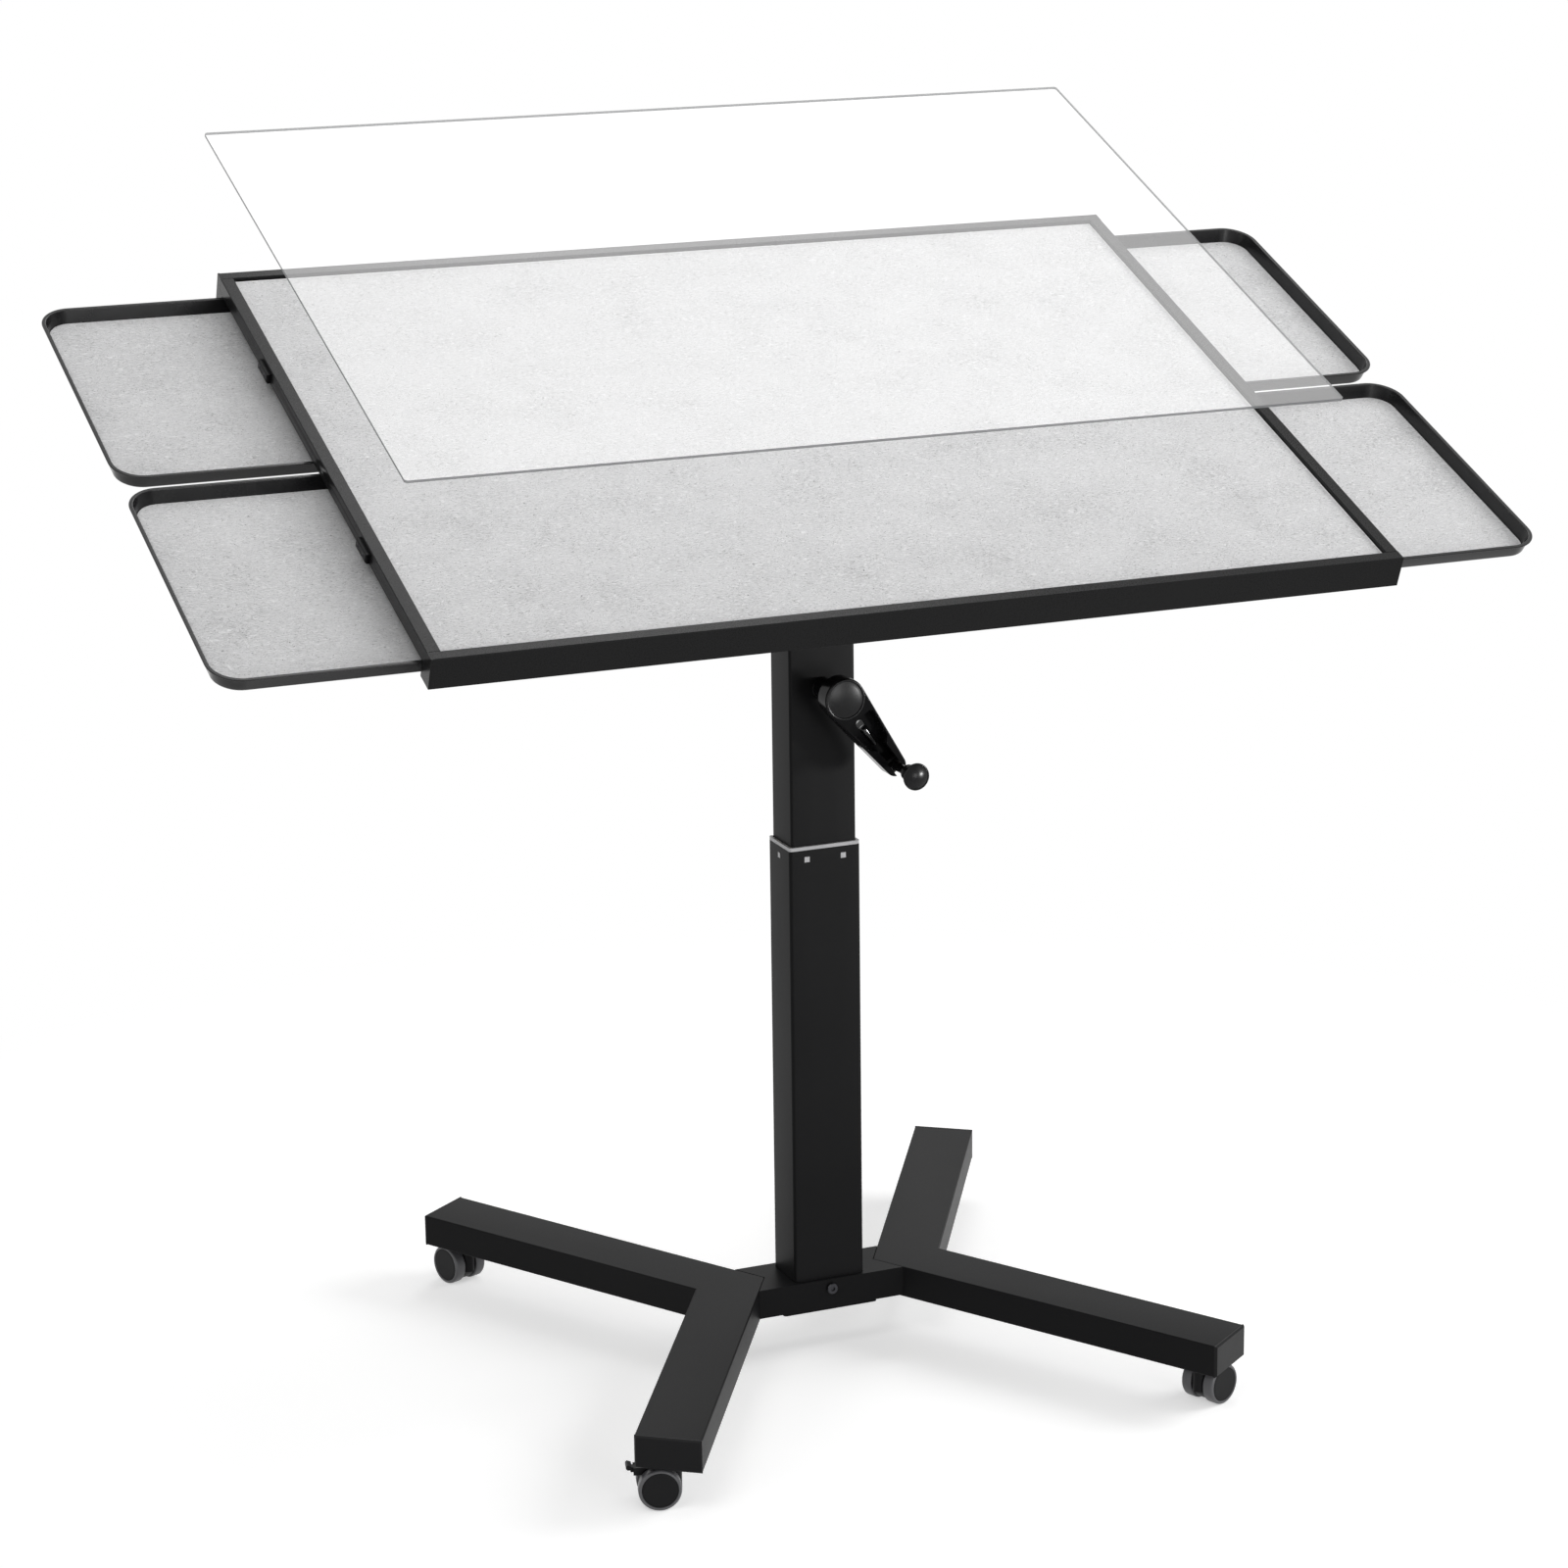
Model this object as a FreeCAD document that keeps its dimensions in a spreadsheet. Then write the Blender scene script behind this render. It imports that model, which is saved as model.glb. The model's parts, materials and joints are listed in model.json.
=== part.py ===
import FreeCAD, Part
import math
import os

import Sketcher

# Puzzle table: a tilting board with four trays on a crank-lifted column and caster base.
# World frame: origin on the floor under the column, X along the board, Z up.
# Board frame: origin in the middle of the rails' top plane, placed in the world by the tilt.

VECTOR = FreeCAD.Vector
FULL_TURN = 360
GEAR_TEETH = 12
doc = FreeCAD.newDocument("PuzzleTable")
sheet = doc.addObject("Spreadsheet::Sheet", "Dimensions")
nodes = []


class Size:
    """A length or angle with the expression that keeps it tied to the sheet."""

    def __init__(self, text, value):
        self.text = text
        self.value = float(value)

    def __add__(self, other):
        return joined(self, "+", other)

    def __radd__(self, other):
        return joined(other, "+", self)

    def __sub__(self, other):
        return joined(self, "-", other)

    def __rsub__(self, other):
        return joined(other, "-", self)

    def __mul__(self, other):
        return joined(self, "*", other)

    def __rmul__(self, other):
        return joined(other, "*", self)

    def __truediv__(self, other):
        return joined(self, "/", other)

    def __neg__(self):
        return joined(0, "-", self)


def number(item):
    """The present value of a size or plain number."""
    if isinstance(item, Size):
        return item.value
    return float(item)


def wording(item):
    """The expression text of a size or plain number."""
    if isinstance(item, Size):
        return item.text
    if item < 0:
        return "(0 - %s)" % repr(float(-item))
    return repr(float(item))


def joined(left, sign, right):
    """Join two sizes with one arithmetic sign."""
    a = number(left)
    b = number(right)
    if sign == "+":
        value = a + b
    elif sign == "-":
        value = a - b
    elif sign == "*":
        value = a * b
    else:
        value = a / b
    return Size("(%s %s %s)" % (wording(left), sign, wording(right)), value)


def sine(angle):
    return Size("sin(%s)" % wording(angle), math.sin(math.radians(number(angle))))


def cosine(angle):
    return Size("cos(%s)" % wording(angle), math.cos(math.radians(number(angle))))


def dim(alias, value):
    """Enter one driving dimension in the sheet."""
    dim.row += 1
    sheet.set("A%d" % dim.row, alias)
    sheet.set("B%d" % dim.row, repr(value))
    sheet.setAlias("B%d" % dim.row, alias)
    return Size("Dimensions.%s" % alias, value)


dim.row = 0

# ---------------------------------------------------------------- dimensions

# base
caster_height = dim("caster_height", 43.0)
leg_tall = dim("leg_tall", 30.0)
leg_wide = dim("leg_wide", 60.0)
leg_length = dim("leg_length", 374.9)
leg_angle = dim("leg_angle", 59.27)
end_slope = dim("end_slope", 0.1)
leg_apex = dim("leg_apex", 55.5)
leg_wall = dim("leg_wall", 2.0)
leg_edge_round = dim("leg_edge_round", 1.5)
cap_thick = dim("cap_thick", 3.0)
cap_plug = dim("cap_plug", 12.0)
cap_play = dim("cap_play", 0.2)
bar_deep = dim("bar_deep", 60.0)
bar_tall = dim("bar_tall", 28.0)
bar_wall = dim("bar_wall", 2.0)
plate_half = dim("plate_half", 47.5)
plate_deep = dim("plate_deep", 56.0)
plate_thick = dim("plate_thick", 3.0)
plate_round = dim("plate_round", 3.0)
bolt_spread = dim("bolt_spread", 22.0)
bolt_offset = dim("bolt_offset", 14.0)
bolt_radius = dim("bolt_radius", 3.0)
bolt_hole = dim("bolt_hole", 3.3)
bolt_head_radius = dim("bolt_head_radius", 5.2)
bolt_head_hex = dim("bolt_head_hex", 5.8)
bolt_head_tall = dim("bolt_head_tall", 3.2)
bolt_length = dim("bolt_length", 20.0)
cross_screw_up = dim("cross_screw_up", 19.0)
cross_screw_length = dim("cross_screw_length", 17.0)

# column
tube_wide = dim("tube_wide", 70.0)
tube_deep = dim("tube_deep", 50.0)
tube_wall = dim("tube_wall", 1.5)
tube_round = dim("tube_round", 3.0)
tube_top = dim("tube_top", 491.8)
bar_play = dim("bar_play", 0.3)
sleeve_flange = dim("sleeve_flange", 3.2)
sleeve_length = dim("sleeve_length", 60.0)
sleeve_play = dim("sleeve_play", 0.3)
button_size = dim("button_size", 5.0)
button_drop = dim("button_drop", 12.0)
button_spread = dim("button_spread", 18.0)
button_proud = dim("button_proud", 0.3)
inner_wide = dim("inner_wide", 64.4)
inner_deep = dim("inner_deep", 44.4)
inner_wall = dim("inner_wall", 1.5)
inner_round = dim("inner_round", 2.5)
inner_bottom = dim("inner_bottom", 200.0)
inner_top = dim("inner_top", 757.0)
guide_tall = dim("guide_tall", 16.0)
guide_foot = dim("guide_foot", 6.0)
guide_bore = dim("guide_bore", 15.0)
guide_round = dim("guide_round", 1.5)
plug_fit = dim("plug_fit", 0.2)
plug_deep = dim("plug_deep", 8.0)

# lift
post_block_tall = dim("post_block_tall", 24.0)
block_play = dim("block_play", 0.2)
block_round = dim("block_round", 1.5)
post_radius = dim("post_radius", 12.5)
post_bore = dim("post_bore", 9.5)
post_top = dim("post_top", 420.0)
nut_radius = dim("nut_radius", 12.5)
nut_tall = dim("nut_tall", 20.0)
nut_spigot = dim("nut_spigot", 12.0)
screw_radius = dim("screw_radius", 7.0)
screw_bottom = dim("screw_bottom", 260.0)
screw_collar = dim("screw_collar", 10.0)
journal_radius = dim("journal_radius", 6.0)
running_play = dim("running_play", 0.08)
axial_play = dim("axial_play", 0.3)
housing_play = dim("housing_play", 0.3)
housing_below = dim("housing_below", 40.0)
housing_above = dim("housing_above", 22.0)
cavity_half = dim("cavity_half", 18.0)
cavity_depth = dim("cavity_depth", 16.8)
cavity_below = dim("cavity_below", 18.6)
housing_round = dim("housing_round", 2.0)

# crank
crank_height = dim("crank_height", 642.0)
crank_angle = dim("crank_angle", 53.4)
gear_distance = dim("gear_distance", 14.0)
gear_inner = dim("gear_inner", 8.5)
gear_root = dim("gear_root", 11.6)
gear_tip = dim("gear_tip", 16.2)
gear_sunk = dim("gear_sunk", 0.8)
tooth_root_half = dim("tooth_root_half", 2.1)
tooth_tip_half = dim("tooth_tip_half", 0.85)
shaft_radius = dim("shaft_radius", 5.0)
bush_radius = dim("bush_radius", 8.0)
bush_flange = dim("bush_flange", 10.0)
bush_flange_thick = dim("bush_flange_thick", 2.5)
boss_radius = dim("boss_radius", 10.0)
arm_back = dim("arm_back", 57.0)
arm_front = dim("arm_front", 75.0)
arm_length = dim("arm_length", 82.8)
hub_radius = dim("hub_radius", 19.4)
tip_radius = dim("tip_radius", 10.0)
arm_floor = dim("arm_floor", 1.5)
arm_edge = dim("arm_edge", 1.2)
recess_start = dim("recess_start", 23.2)
recess_wide = dim("recess_wide", 14.4)
recess_far = dim("recess_far", 53.5)
recess_far_wide = dim("recess_far_wide", 11.0)
slot_start = dim("slot_start", 60.0)
slot_wide = dim("slot_wide", 5.2)
hub_cap_radius = dim("hub_cap_radius", 18.6)
hub_cap_thick = dim("hub_cap_thick", 1.6)
fold_depth = dim("fold_depth", 3.4)
fold_pin_radius = dim("fold_pin_radius", 2.0)
fold_pin_half = dim("fold_pin_half", 9.2)
stem_radius = dim("stem_radius", 4.2)
stem_eye = dim("stem_eye", 4.9)
stem_eye_half = dim("stem_eye_half", 4.9)
knob_back = dim("knob_back", 100.0)
knob_front = dim("knob_front", 122.0)
knob_radius = dim("knob_radius", 12.5)
knob_neck = dim("knob_neck", 7.4)
knob_axle = dim("knob_axle", 3.0)
knob_neck_long = dim("knob_neck_long", 12.5)
knob_flare = dim("knob_flare", 4.5)
knob_crown = dim("knob_crown", 3.2)
knob_end_wall = dim("knob_end_wall", 1.7)

# head
pivot_rise = dim("pivot_rise", 35.3)
cheek_foot = dim("cheek_foot", 10.0)
tilt_angle = dim("tilt_angle", 21.5)
pivot_forward = dim("pivot_forward", 54.0)
pivot_drop = dim("pivot_drop", 75.0)
head_thick = dim("head_thick", 4.0)
cheek_inner = dim("cheek_inner", 26.0)
cheek_thick = dim("cheek_thick", 4.0)
pivot_round = dim("pivot_round", 14.0)
pivot_radius = dim("pivot_radius", 5.0)
ear_gap = dim("ear_gap", 0.5)
ear_thick = dim("ear_thick", 4.0)
bracket_half = dim("bracket_half", 30.0)
bracket_plate = dim("bracket_plate", 4.0)
bracket_round = dim("bracket_round", 3.0)
bracket_screw_radius = dim("bracket_screw_radius", 2.5)
bracket_head_hex = dim("bracket_head_hex", 4.6)
bracket_head_tall = dim("bracket_head_tall", 2.6)
bracket_screw_length = dim("bracket_screw_length", 10.0)
bolt_cap_thick = dim("bolt_cap_thick", 5.0)
bolt_cap_radius = dim("bolt_cap_radius", 8.5)
tilt_knob_radius = dim("tilt_knob_radius", 22.0)
tilt_knob_thick = dim("tilt_knob_thick", 25.0)
tilt_knob_lobe = dim("tilt_knob_lobe", 7.0)
tilt_knob_boss = dim("tilt_knob_boss", 9.5)
tilt_knob_boss_long = dim("tilt_knob_boss_long", 10.0)
tilt_knob_crown = dim("tilt_knob_crown", 3.5)

# board
board_width = dim("board_width", 900.0)
board_depth = dim("board_depth", 645.0)
rail_tall = dim("rail_tall", 29.0)
rail_top = dim("rail_top", 11.5)
rail_foot = dim("rail_foot", 20.5)
ledge_drop = dim("ledge_drop", 12.0)
ledge_thick = dim("ledge_thick", 2.1)
groove_tall = dim("groove_tall", 2.3)
groove_depth = dim("groove_depth", 2.0)
chamber_wall = dim("chamber_wall", 2.2)
end_cap_thick = dim("end_cap_thick", 2.0)
end_plug = dim("end_plug", 8.0)
plug_play = dim("plug_play", 0.2)
side_rail_wide = dim("side_rail_wide", 12.0)
side_rail_tall = dim("side_rail_tall", 14.0)
side_ledge = dim("side_ledge", 4.0)
rail_chamfer = dim("rail_chamfer", 0.6)
fit_gap = dim("fit_gap", 0.3)
felt_drop = dim("felt_drop", 4.0)
felt_thick = dim("felt_thick", 2.0)
panel_drop = dim("panel_drop", 6.0)
spine_half = dim("spine_half", 40.0)
spine_flange = dim("spine_flange", 5.0)
spine_drop = dim("spine_drop", 31.0)
spine_wall = dim("spine_wall", 2.0)
runner_flange = dim("runner_flange", 10.0)
runner_neck = dim("runner_neck", 8.0)
runner_drop = dim("runner_drop", 19.0)

# trays
tray_length = dim("tray_length", 398.0)
tray_play = dim("tray_play", 0.5)
tray_tall = dim("tray_tall", 14.5)
tray_drop = dim("tray_drop", 14.5)
tray_round = dim("tray_round", 29.0)
tray_lip = dim("tray_lip", 2.0)
tray_lip_thick = dim("tray_lip_thick", 1.6)
tray_draft = dim("tray_draft", 3.75)
tray_wall = dim("tray_wall", 1.6)
tray_floor_bevel = dim("tray_floor_bevel", 1.5)
liner_thick = dim("liner_thick", 1.0)
liner_inset = dim("liner_inset", 3.5)
left_draw = dim("left_draw", 173.0)
right_draw = dim("right_draw", 160.0)

# catches and cover
catch_long = dim("catch_long", 28.0)
catch_tall = dim("catch_tall", 9.0)
catch_proud = dim("catch_proud", 4.0)
catch_drop = dim("catch_drop", 4.0)
catch_edge = dim("catch_edge", 1.2)
catch_back_shift = dim("catch_back_shift", 1.0)
catch_front_shift = dim("catch_front_shift", 13.0)
catch_head = dim("catch_head", 2.4)
catch_screw_radius = dim("catch_screw_radius", 1.6)
catch_screw_spread = dim("catch_screw_spread", 7.5)
catch_screw_deep = dim("catch_screw_deep", 6.0)
cover_side_play = dim("cover_side_play", 5.0)
cover_end_play = dim("cover_end_play", 4.0)
cover_thick = dim("cover_thick", 2.5)
cover_round = dim("cover_round", 3.0)
cover_side = dim("cover_side", 17.0)
cover_back = dim("cover_back", 83.0)
cover_rise = dim("cover_rise", 107.0)

# casters
stem_inset = dim("stem_inset", 32.0)
caster_trail = dim("caster_trail", 14.0)
wheel_radius = dim("wheel_radius", 19.0)
wheel_wide = dim("wheel_wide", 11.1)
wheel_space = dim("wheel_space", 24.7)
wheel_round = dim("wheel_round", 2.0)
hub_disc_radius = dim("hub_disc_radius", 16.1)
hub_disc_sunk = dim("hub_disc_sunk", 0.8)
hub_disc_thick = dim("hub_disc_thick", 2.2)
web_gap = dim("web_gap", 0.3)
web_shoulder = dim("web_shoulder", 8.0)
web_top_gap = dim("web_top_gap", 1.5)
web_radius = dim("web_radius", 17.2)
axle_radius = dim("axle_radius", 3.0)
caster_stem = dim("caster_stem", 5.0)
caster_stem_top = dim("caster_stem_top", 66.0)
swivel_boss = dim("swivel_boss", 6.3)
swivel_boss_drop = dim("swivel_boss_drop", 6.0)
swivel_gap = dim("swivel_gap", 0.5)
socket_wall = dim("socket_wall", 2.0)
lever_reach = dim("lever_reach", 19.0)
lever_up = dim("lever_up", 33.0)
lever_barrel = dim("lever_barrel", 3.0)
lever_half = dim("lever_half", 3.7)
lever_long = dim("lever_long", 9.5)
lever_pad = dim("lever_pad", 4.4)
lever_pad_half = dim("lever_pad_half", 6.0)
lever_pad_top = dim("lever_pad_top", 6.0)
lever_pad_thick = dim("lever_pad_thick", 4.8)
lever_pad_round = dim("lever_pad_round", 1.4)
lever_pin = dim("lever_pin", 1.5)
lug_play = dim("lug_play", 0.3)
lug_height = dim("lug_height", 3.4)
lug_overlap = dim("lug_overlap", 6.0)

pivot_height = inner_top + head_thick + pivot_rise

doc.recompute()

# ---------------------------------------------------------------- helpers


def bind(item, path, size):
    item.setExpression(path, wording(size))


def new_body(label):
    body = doc.addObject("PartDesign::Body", label)
    body.Label = label
    return body


def keep(item, label):
    """Mark an object as one of the part's nodes."""
    item.Label = label
    nodes.append((label, item))
    return item


def plane_of(body, role):
    for feature in body.Origin.OriginFeatures:
        if feature.Role == role:
            return feature
    return None


def new_sketch(body, plane, offset, shift=(0, 0)):
    sketch = body.newObject("Sketcher::SketchObject", "Sketch")
    sketch.AttachmentSupport = [(plane_of(body, plane), "")]
    sketch.MapMode = "FlatFace"
    bind(sketch, ".AttachmentOffset.Base.z", offset)
    if number(shift[0]) != 0:
        bind(sketch, ".AttachmentOffset.Base.x", shift[0])
    if number(shift[1]) != 0:
        bind(sketch, ".AttachmentOffset.Base.y", shift[1])
    return sketch


def pin_point(sketch, item, end, x, y):
    """Tie one point of a sketch to sheet-driven coordinates."""
    for sort, size, axis in (("DistanceX", x, -2), ("DistanceY", y, -1)):
        if abs(number(size)) < 1e-9:
            sketch.addConstraint(Sketcher.Constraint("PointOnObject", item, end, axis))
        else:
            rule = Sketcher.Constraint(sort, -1, 1, item, end, number(size))
            index = sketch.addConstraint(rule)
            if isinstance(size, Size):
                bind(sketch, "Constraints[%d]" % index, size)


def polygon(points):
    def draw(sketch):
        count = len(points)
        first = sketch.GeometryCount
        for k in range(count):
            a = points[k]
            b = points[(k + 1) % count]
            start = VECTOR(number(a[0]), number(a[1]), 0)
            stop = VECTOR(number(b[0]), number(b[1]), 0)
            sketch.addGeometry(Part.LineSegment(start, stop), False)
        for k in range(count):
            link = Sketcher.Constraint("Coincident", first + k, 2, first + (k + 1) % count, 1)
            sketch.addConstraint(link)
        for k in range(count):
            pin_point(sketch, first + k, 1, points[k][0], points[k][1])

    return draw


def box_of(x0, x1, y0, y1):
    return polygon([(x0, y0), (x1, y0), (x1, y1), (x0, y1)])


def circle(x, y, radius):
    def draw(sketch):
        centre = VECTOR(number(x), number(y), 0)
        shape = Part.Circle(centre, VECTOR(0, 0, 1), number(radius))
        item = sketch.addGeometry(shape, False)
        index = sketch.addConstraint(Sketcher.Constraint("Radius", item, number(radius)))
        if isinstance(radius, Size):
            bind(sketch, "Constraints[%d]" % index, radius)
        pin_point(sketch, item, 3, x, y)

    return draw


def ring(x, y, outer, inner):
    def draw(sketch):
        circle(x, y, outer)(sketch)
        circle(x, y, inner)(sketch)

    return draw


def arc(sketch, x, y, radius, start, stop):
    round_shape = Part.Circle(VECTOR(x, y, 0), VECTOR(0, 0, 1), radius)
    piece = Part.ArcOfCircle(round_shape, math.radians(start), math.radians(stop))
    return sketch.addGeometry(piece, False)


def line(sketch, x0, y0, x1, y1):
    return sketch.addGeometry(Part.LineSegment(VECTOR(x0, y0, 0), VECTOR(x1, y1, 0)), False)


def rounded(half_x, half_y, radius, shift=(0, 0)):
    """A rounded rectangle given by its half sizes."""

    def draw(sketch):
        a = number(half_x)
        b = number(half_y)
        r = number(radius)
        x = number(shift[0])
        y = number(shift[1])
        g = [
            line(sketch, x - a + r, y - b, x + a - r, y - b),
            arc(sketch, x + a - r, y - b + r, r, 270, 360),
            line(sketch, x + a, y - b + r, x + a, y + b - r),
            arc(sketch, x + a - r, y + b - r, r, 0, 90),
            line(sketch, x + a - r, y + b, x - a + r, y + b),
            arc(sketch, x - a + r, y + b - r, r, 90, 180),
            line(sketch, x - a, y + b - r, x - a, y - b + r),
            arc(sketch, x - a + r, y - b + r, r, 180, 270),
        ]
        for k in range(8):
            link = Sketcher.Constraint("Tangent", g[k], 2, g[(k + 1) % 8], 1)
            sketch.addConstraint(link)
        sketch.addConstraint(Sketcher.Constraint("Horizontal", g[0]))
        sketch.addConstraint(Sketcher.Constraint("Vertical", g[2]))
        sketch.addConstraint(Sketcher.Constraint("Horizontal", g[4]))
        sketch.addConstraint(Sketcher.Constraint("Vertical", g[6]))
        for k in (3, 5, 7):
            sketch.addConstraint(Sketcher.Constraint("Equal", g[1], g[k]))
        rules = (
            ("Radius", None, radius),
            ("DistanceX", g[2], shift[0] + half_x),
            ("DistanceX", g[6], shift[0] - half_x),
            ("DistanceY", g[0], shift[1] - half_y),
            ("DistanceY", g[4], shift[1] + half_y),
        )
        for sort, item, size in rules:
            if item is None:
                rule = Sketcher.Constraint(sort, g[1], number(size))
            else:
                rule = Sketcher.Constraint(sort, -1, 1, item, 1, number(size))
            index = sketch.addConstraint(rule)
            bind(sketch, "Constraints[%d]" % index, size)

    return draw


def both(*profiles):
    def draw(sketch):
        for profile in profiles:
            profile(sketch)

    return draw


def prism(body, plane, low, high, profile, cut=False):
    """Pad or cut a profile from one offset of the plane to another."""
    sketch = new_sketch(body, plane, low)
    profile(sketch)
    if cut:
        feature = body.newObject("PartDesign::Pocket", "Pocket")
        feature.Profile = sketch
        feature.Reversed = True
    else:
        feature = body.newObject("PartDesign::Pad", "Pad")
        feature.Profile = sketch
    bind(feature, "Length", high - low)
    sketch.Visibility = False
    return feature


def lathe(body, plane, axis, profile, cut=False, shift=(0, 0), offset=0):
    """Turn a profile about one axis of its sketch."""
    sketch = new_sketch(body, plane, offset, shift)
    profile(sketch)
    kind = "PartDesign::Groove" if cut else "PartDesign::Revolution"
    feature = body.newObject(kind, "Turned")
    feature.Profile = sketch
    feature.ReferenceAxis = (sketch, [axis])
    feature.Angle = FULL_TURN
    sketch.Visibility = False
    return feature


def edges_of(feature, wanted):
    """Names of a feature's edges whose middle point passes a test."""
    doc.recompute()
    found = []
    for index, edge in enumerate(feature.Shape.Edges):
        middle = edge.valueAt((edge.FirstParameter + edge.LastParameter) / 2)
        if wanted(middle, edge):
            found.append("Edge%d" % (index + 1))
    return found


def round_edges(body, feature, radius, wanted):
    fillet = body.newObject("PartDesign::Fillet", "Fillet")
    fillet.Base = (feature, edges_of(feature, wanted))
    bind(fillet, "Radius", radius)
    return fillet


def bevel_edges(body, feature, size, wanted):
    chamfer = body.newObject("PartDesign::Chamfer", "Chamfer")
    chamfer.Base = (feature, edges_of(feature, wanted))
    bind(chamfer, "Size", size)
    return chamfer


def mirrored(source, label, across):
    copy = doc.addObject("Part::Mirroring", label)
    copy.Source = source
    copy.Base = VECTOR(0, 0, 0)
    copy.Normal = across
    copy.Label = label
    return copy


def gathered(label, items):
    group = doc.addObject("Part::Compound", label)
    group.Links = items
    group.Label = label
    return group


def four_ways(source, label):
    """The object and its copies across X = 0 and Y = 0."""
    side = mirrored(source, label + "_side", VECTOR(1, 0, 0))
    back = mirrored(source, label + "_back", VECTOR(0, 1, 0))
    far = mirrored(side, label + "_far", VECTOR(0, 1, 0))
    return gathered(label, [source, side, back, far])


def on_board(item, x=0, v=0, w=0):
    """Place an object of the board frame at board coordinates."""
    item.Placement = FreeCAD.Placement(VECTOR(0, 0, 0), FreeCAD.Rotation(VECTOR(1, 0, 0), 10))
    ahead = pivot_forward + v
    above = pivot_drop + w
    bind(item, ".Placement.Base.x", x)
    bind(item, ".Placement.Base.y", ahead * cosine(tilt_angle) - above * sine(tilt_angle))
    rise = ahead * sine(tilt_angle) + above * cosine(tilt_angle)
    bind(item, ".Placement.Base.z", pivot_height + rise)
    bind(item, ".Placement.Rotation.Angle", tilt_angle)
    return item


def at_height(item, height):
    bind(item, ".Placement.Base.z", height)
    return item


XY = "XY_Plane"
XZ = "XZ_Plane"
YZ = "YZ_Plane"
ACROSS_X = VECTOR(1, 0, 0)
ACROSS_Y = VECTOR(0, 1, 0)

# ---------------------------------------------------------------- base

leg_top = caster_height + leg_tall
run_x = cosine(leg_angle)
run_y = sine(leg_angle)


def leg_point(along, inward, side):
    """A point of the leg's plan: along the arm and inward across its width."""
    x = leg_apex + along * run_x + inward * run_y
    y = along * run_y - inward * run_x
    return (x, y * side)


def leg_end(end, inward):
    """How far the cut end of an arm lies along it, at a distance across its width."""
    return end + (leg_wide / 2 - inward) * end_slope


def leg_inner(inset):
    return leg_apex + inset / run_y


def leg_plan(inset, end):
    """The V-shaped plan of one leg, inset from its walls, ended along each arm."""
    far = leg_wide - inset
    return polygon(
        [
            (leg_inner(inset), 0),
            leg_point(leg_end(end, inset), inset, -1),
            leg_point(leg_end(end, far), far, -1),
            (leg_inner(far), 0),
            leg_point(leg_end(end, far), far, 1),
            leg_point(leg_end(end, inset), inset, 1),
        ]
    )


tube_end = leg_length - cap_thick
leg_right = new_body("leg_right")
shell = prism(leg_right, XY, caster_height, leg_top, leg_plan(Size("0", 0), tube_end))


def long_edge(middle, edge):
    level = abs(middle.z - number(caster_height)) < 0.01 or abs(middle.z - number(leg_top)) < 0.01
    return level and edge.Length > number(leg_length) / 2


round_edges(leg_right, shell, leg_edge_round, long_edge)
prism(
    leg_right,
    XY,
    caster_height + leg_wall,
    leg_top - leg_wall,
    leg_plan(leg_wall, tube_end + 5),
    cut=True,
)
socket_outer = caster_stem + running_play + socket_wall
stem_at = leg_point(leg_length - stem_inset, leg_wide / 2, 1)
for side in (1, -1):
    prism(
        leg_right,
        XY,
        caster_height - 1,
        caster_height + leg_wall + 1,
        circle(stem_at[0], stem_at[1] * side, socket_outer + 0.1),
        cut=True,
    )
keep(leg_right, "leg_right")
keep(mirrored(leg_right, "leg_left", ACROSS_X), "leg_left")


def end_block(near, far, inset):
    across = leg_wide - inset
    return polygon(
        [
            leg_point(leg_end(near, inset), inset, 1),
            leg_point(leg_end(far, inset), inset, 1),
            leg_point(leg_end(far, across), across, 1),
            leg_point(leg_end(near, across), across, 1),
        ]
    )


end_cap = new_body("end_cap_seed")
prism(end_cap, XY, caster_height, leg_top, end_block(tube_end, leg_length, Size("0", 0)))
plug_inset = leg_wall + cap_play
cap_feature = prism(
    end_cap,
    XY,
    caster_height + plug_inset,
    leg_top - plug_inset,
    end_block(tube_end - cap_plug, tube_end, plug_inset),
)


def cap_rim(middle, edge):
    out = middle.x - number(leg_apex)
    along = out * number(run_x) + middle.y * number(run_y)
    inward = out * number(run_y) - middle.y * number(run_x)
    slope = number(leg_wide / 2 - inward) * number(end_slope)
    return abs(along - number(leg_length) - slope) < 0.01


bevel_edges(end_cap, cap_feature, leg_edge_round, cap_rim)
keep(four_ways(end_cap, "leg_end_caps"), "leg_end_caps")

socket = new_body("caster_bush_seed")
lathe(
    socket,
    XZ,
    "V_Axis",
    polygon(
        [
            (caster_stem + running_play, caster_height),
            (socket_outer, caster_height),
            (socket_outer, caster_stem_top),
            (caster_stem + running_play, caster_stem_top),
        ]
    ),
)
socket_placed = gathered("caster_bush_placed", [socket])
bind(socket_placed, ".Placement.Base.x", stem_at[0])
bind(socket_placed, ".Placement.Base.y", stem_at[1])
keep(four_ways(socket_placed, "caster_bushes"), "caster_bushes")

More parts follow.
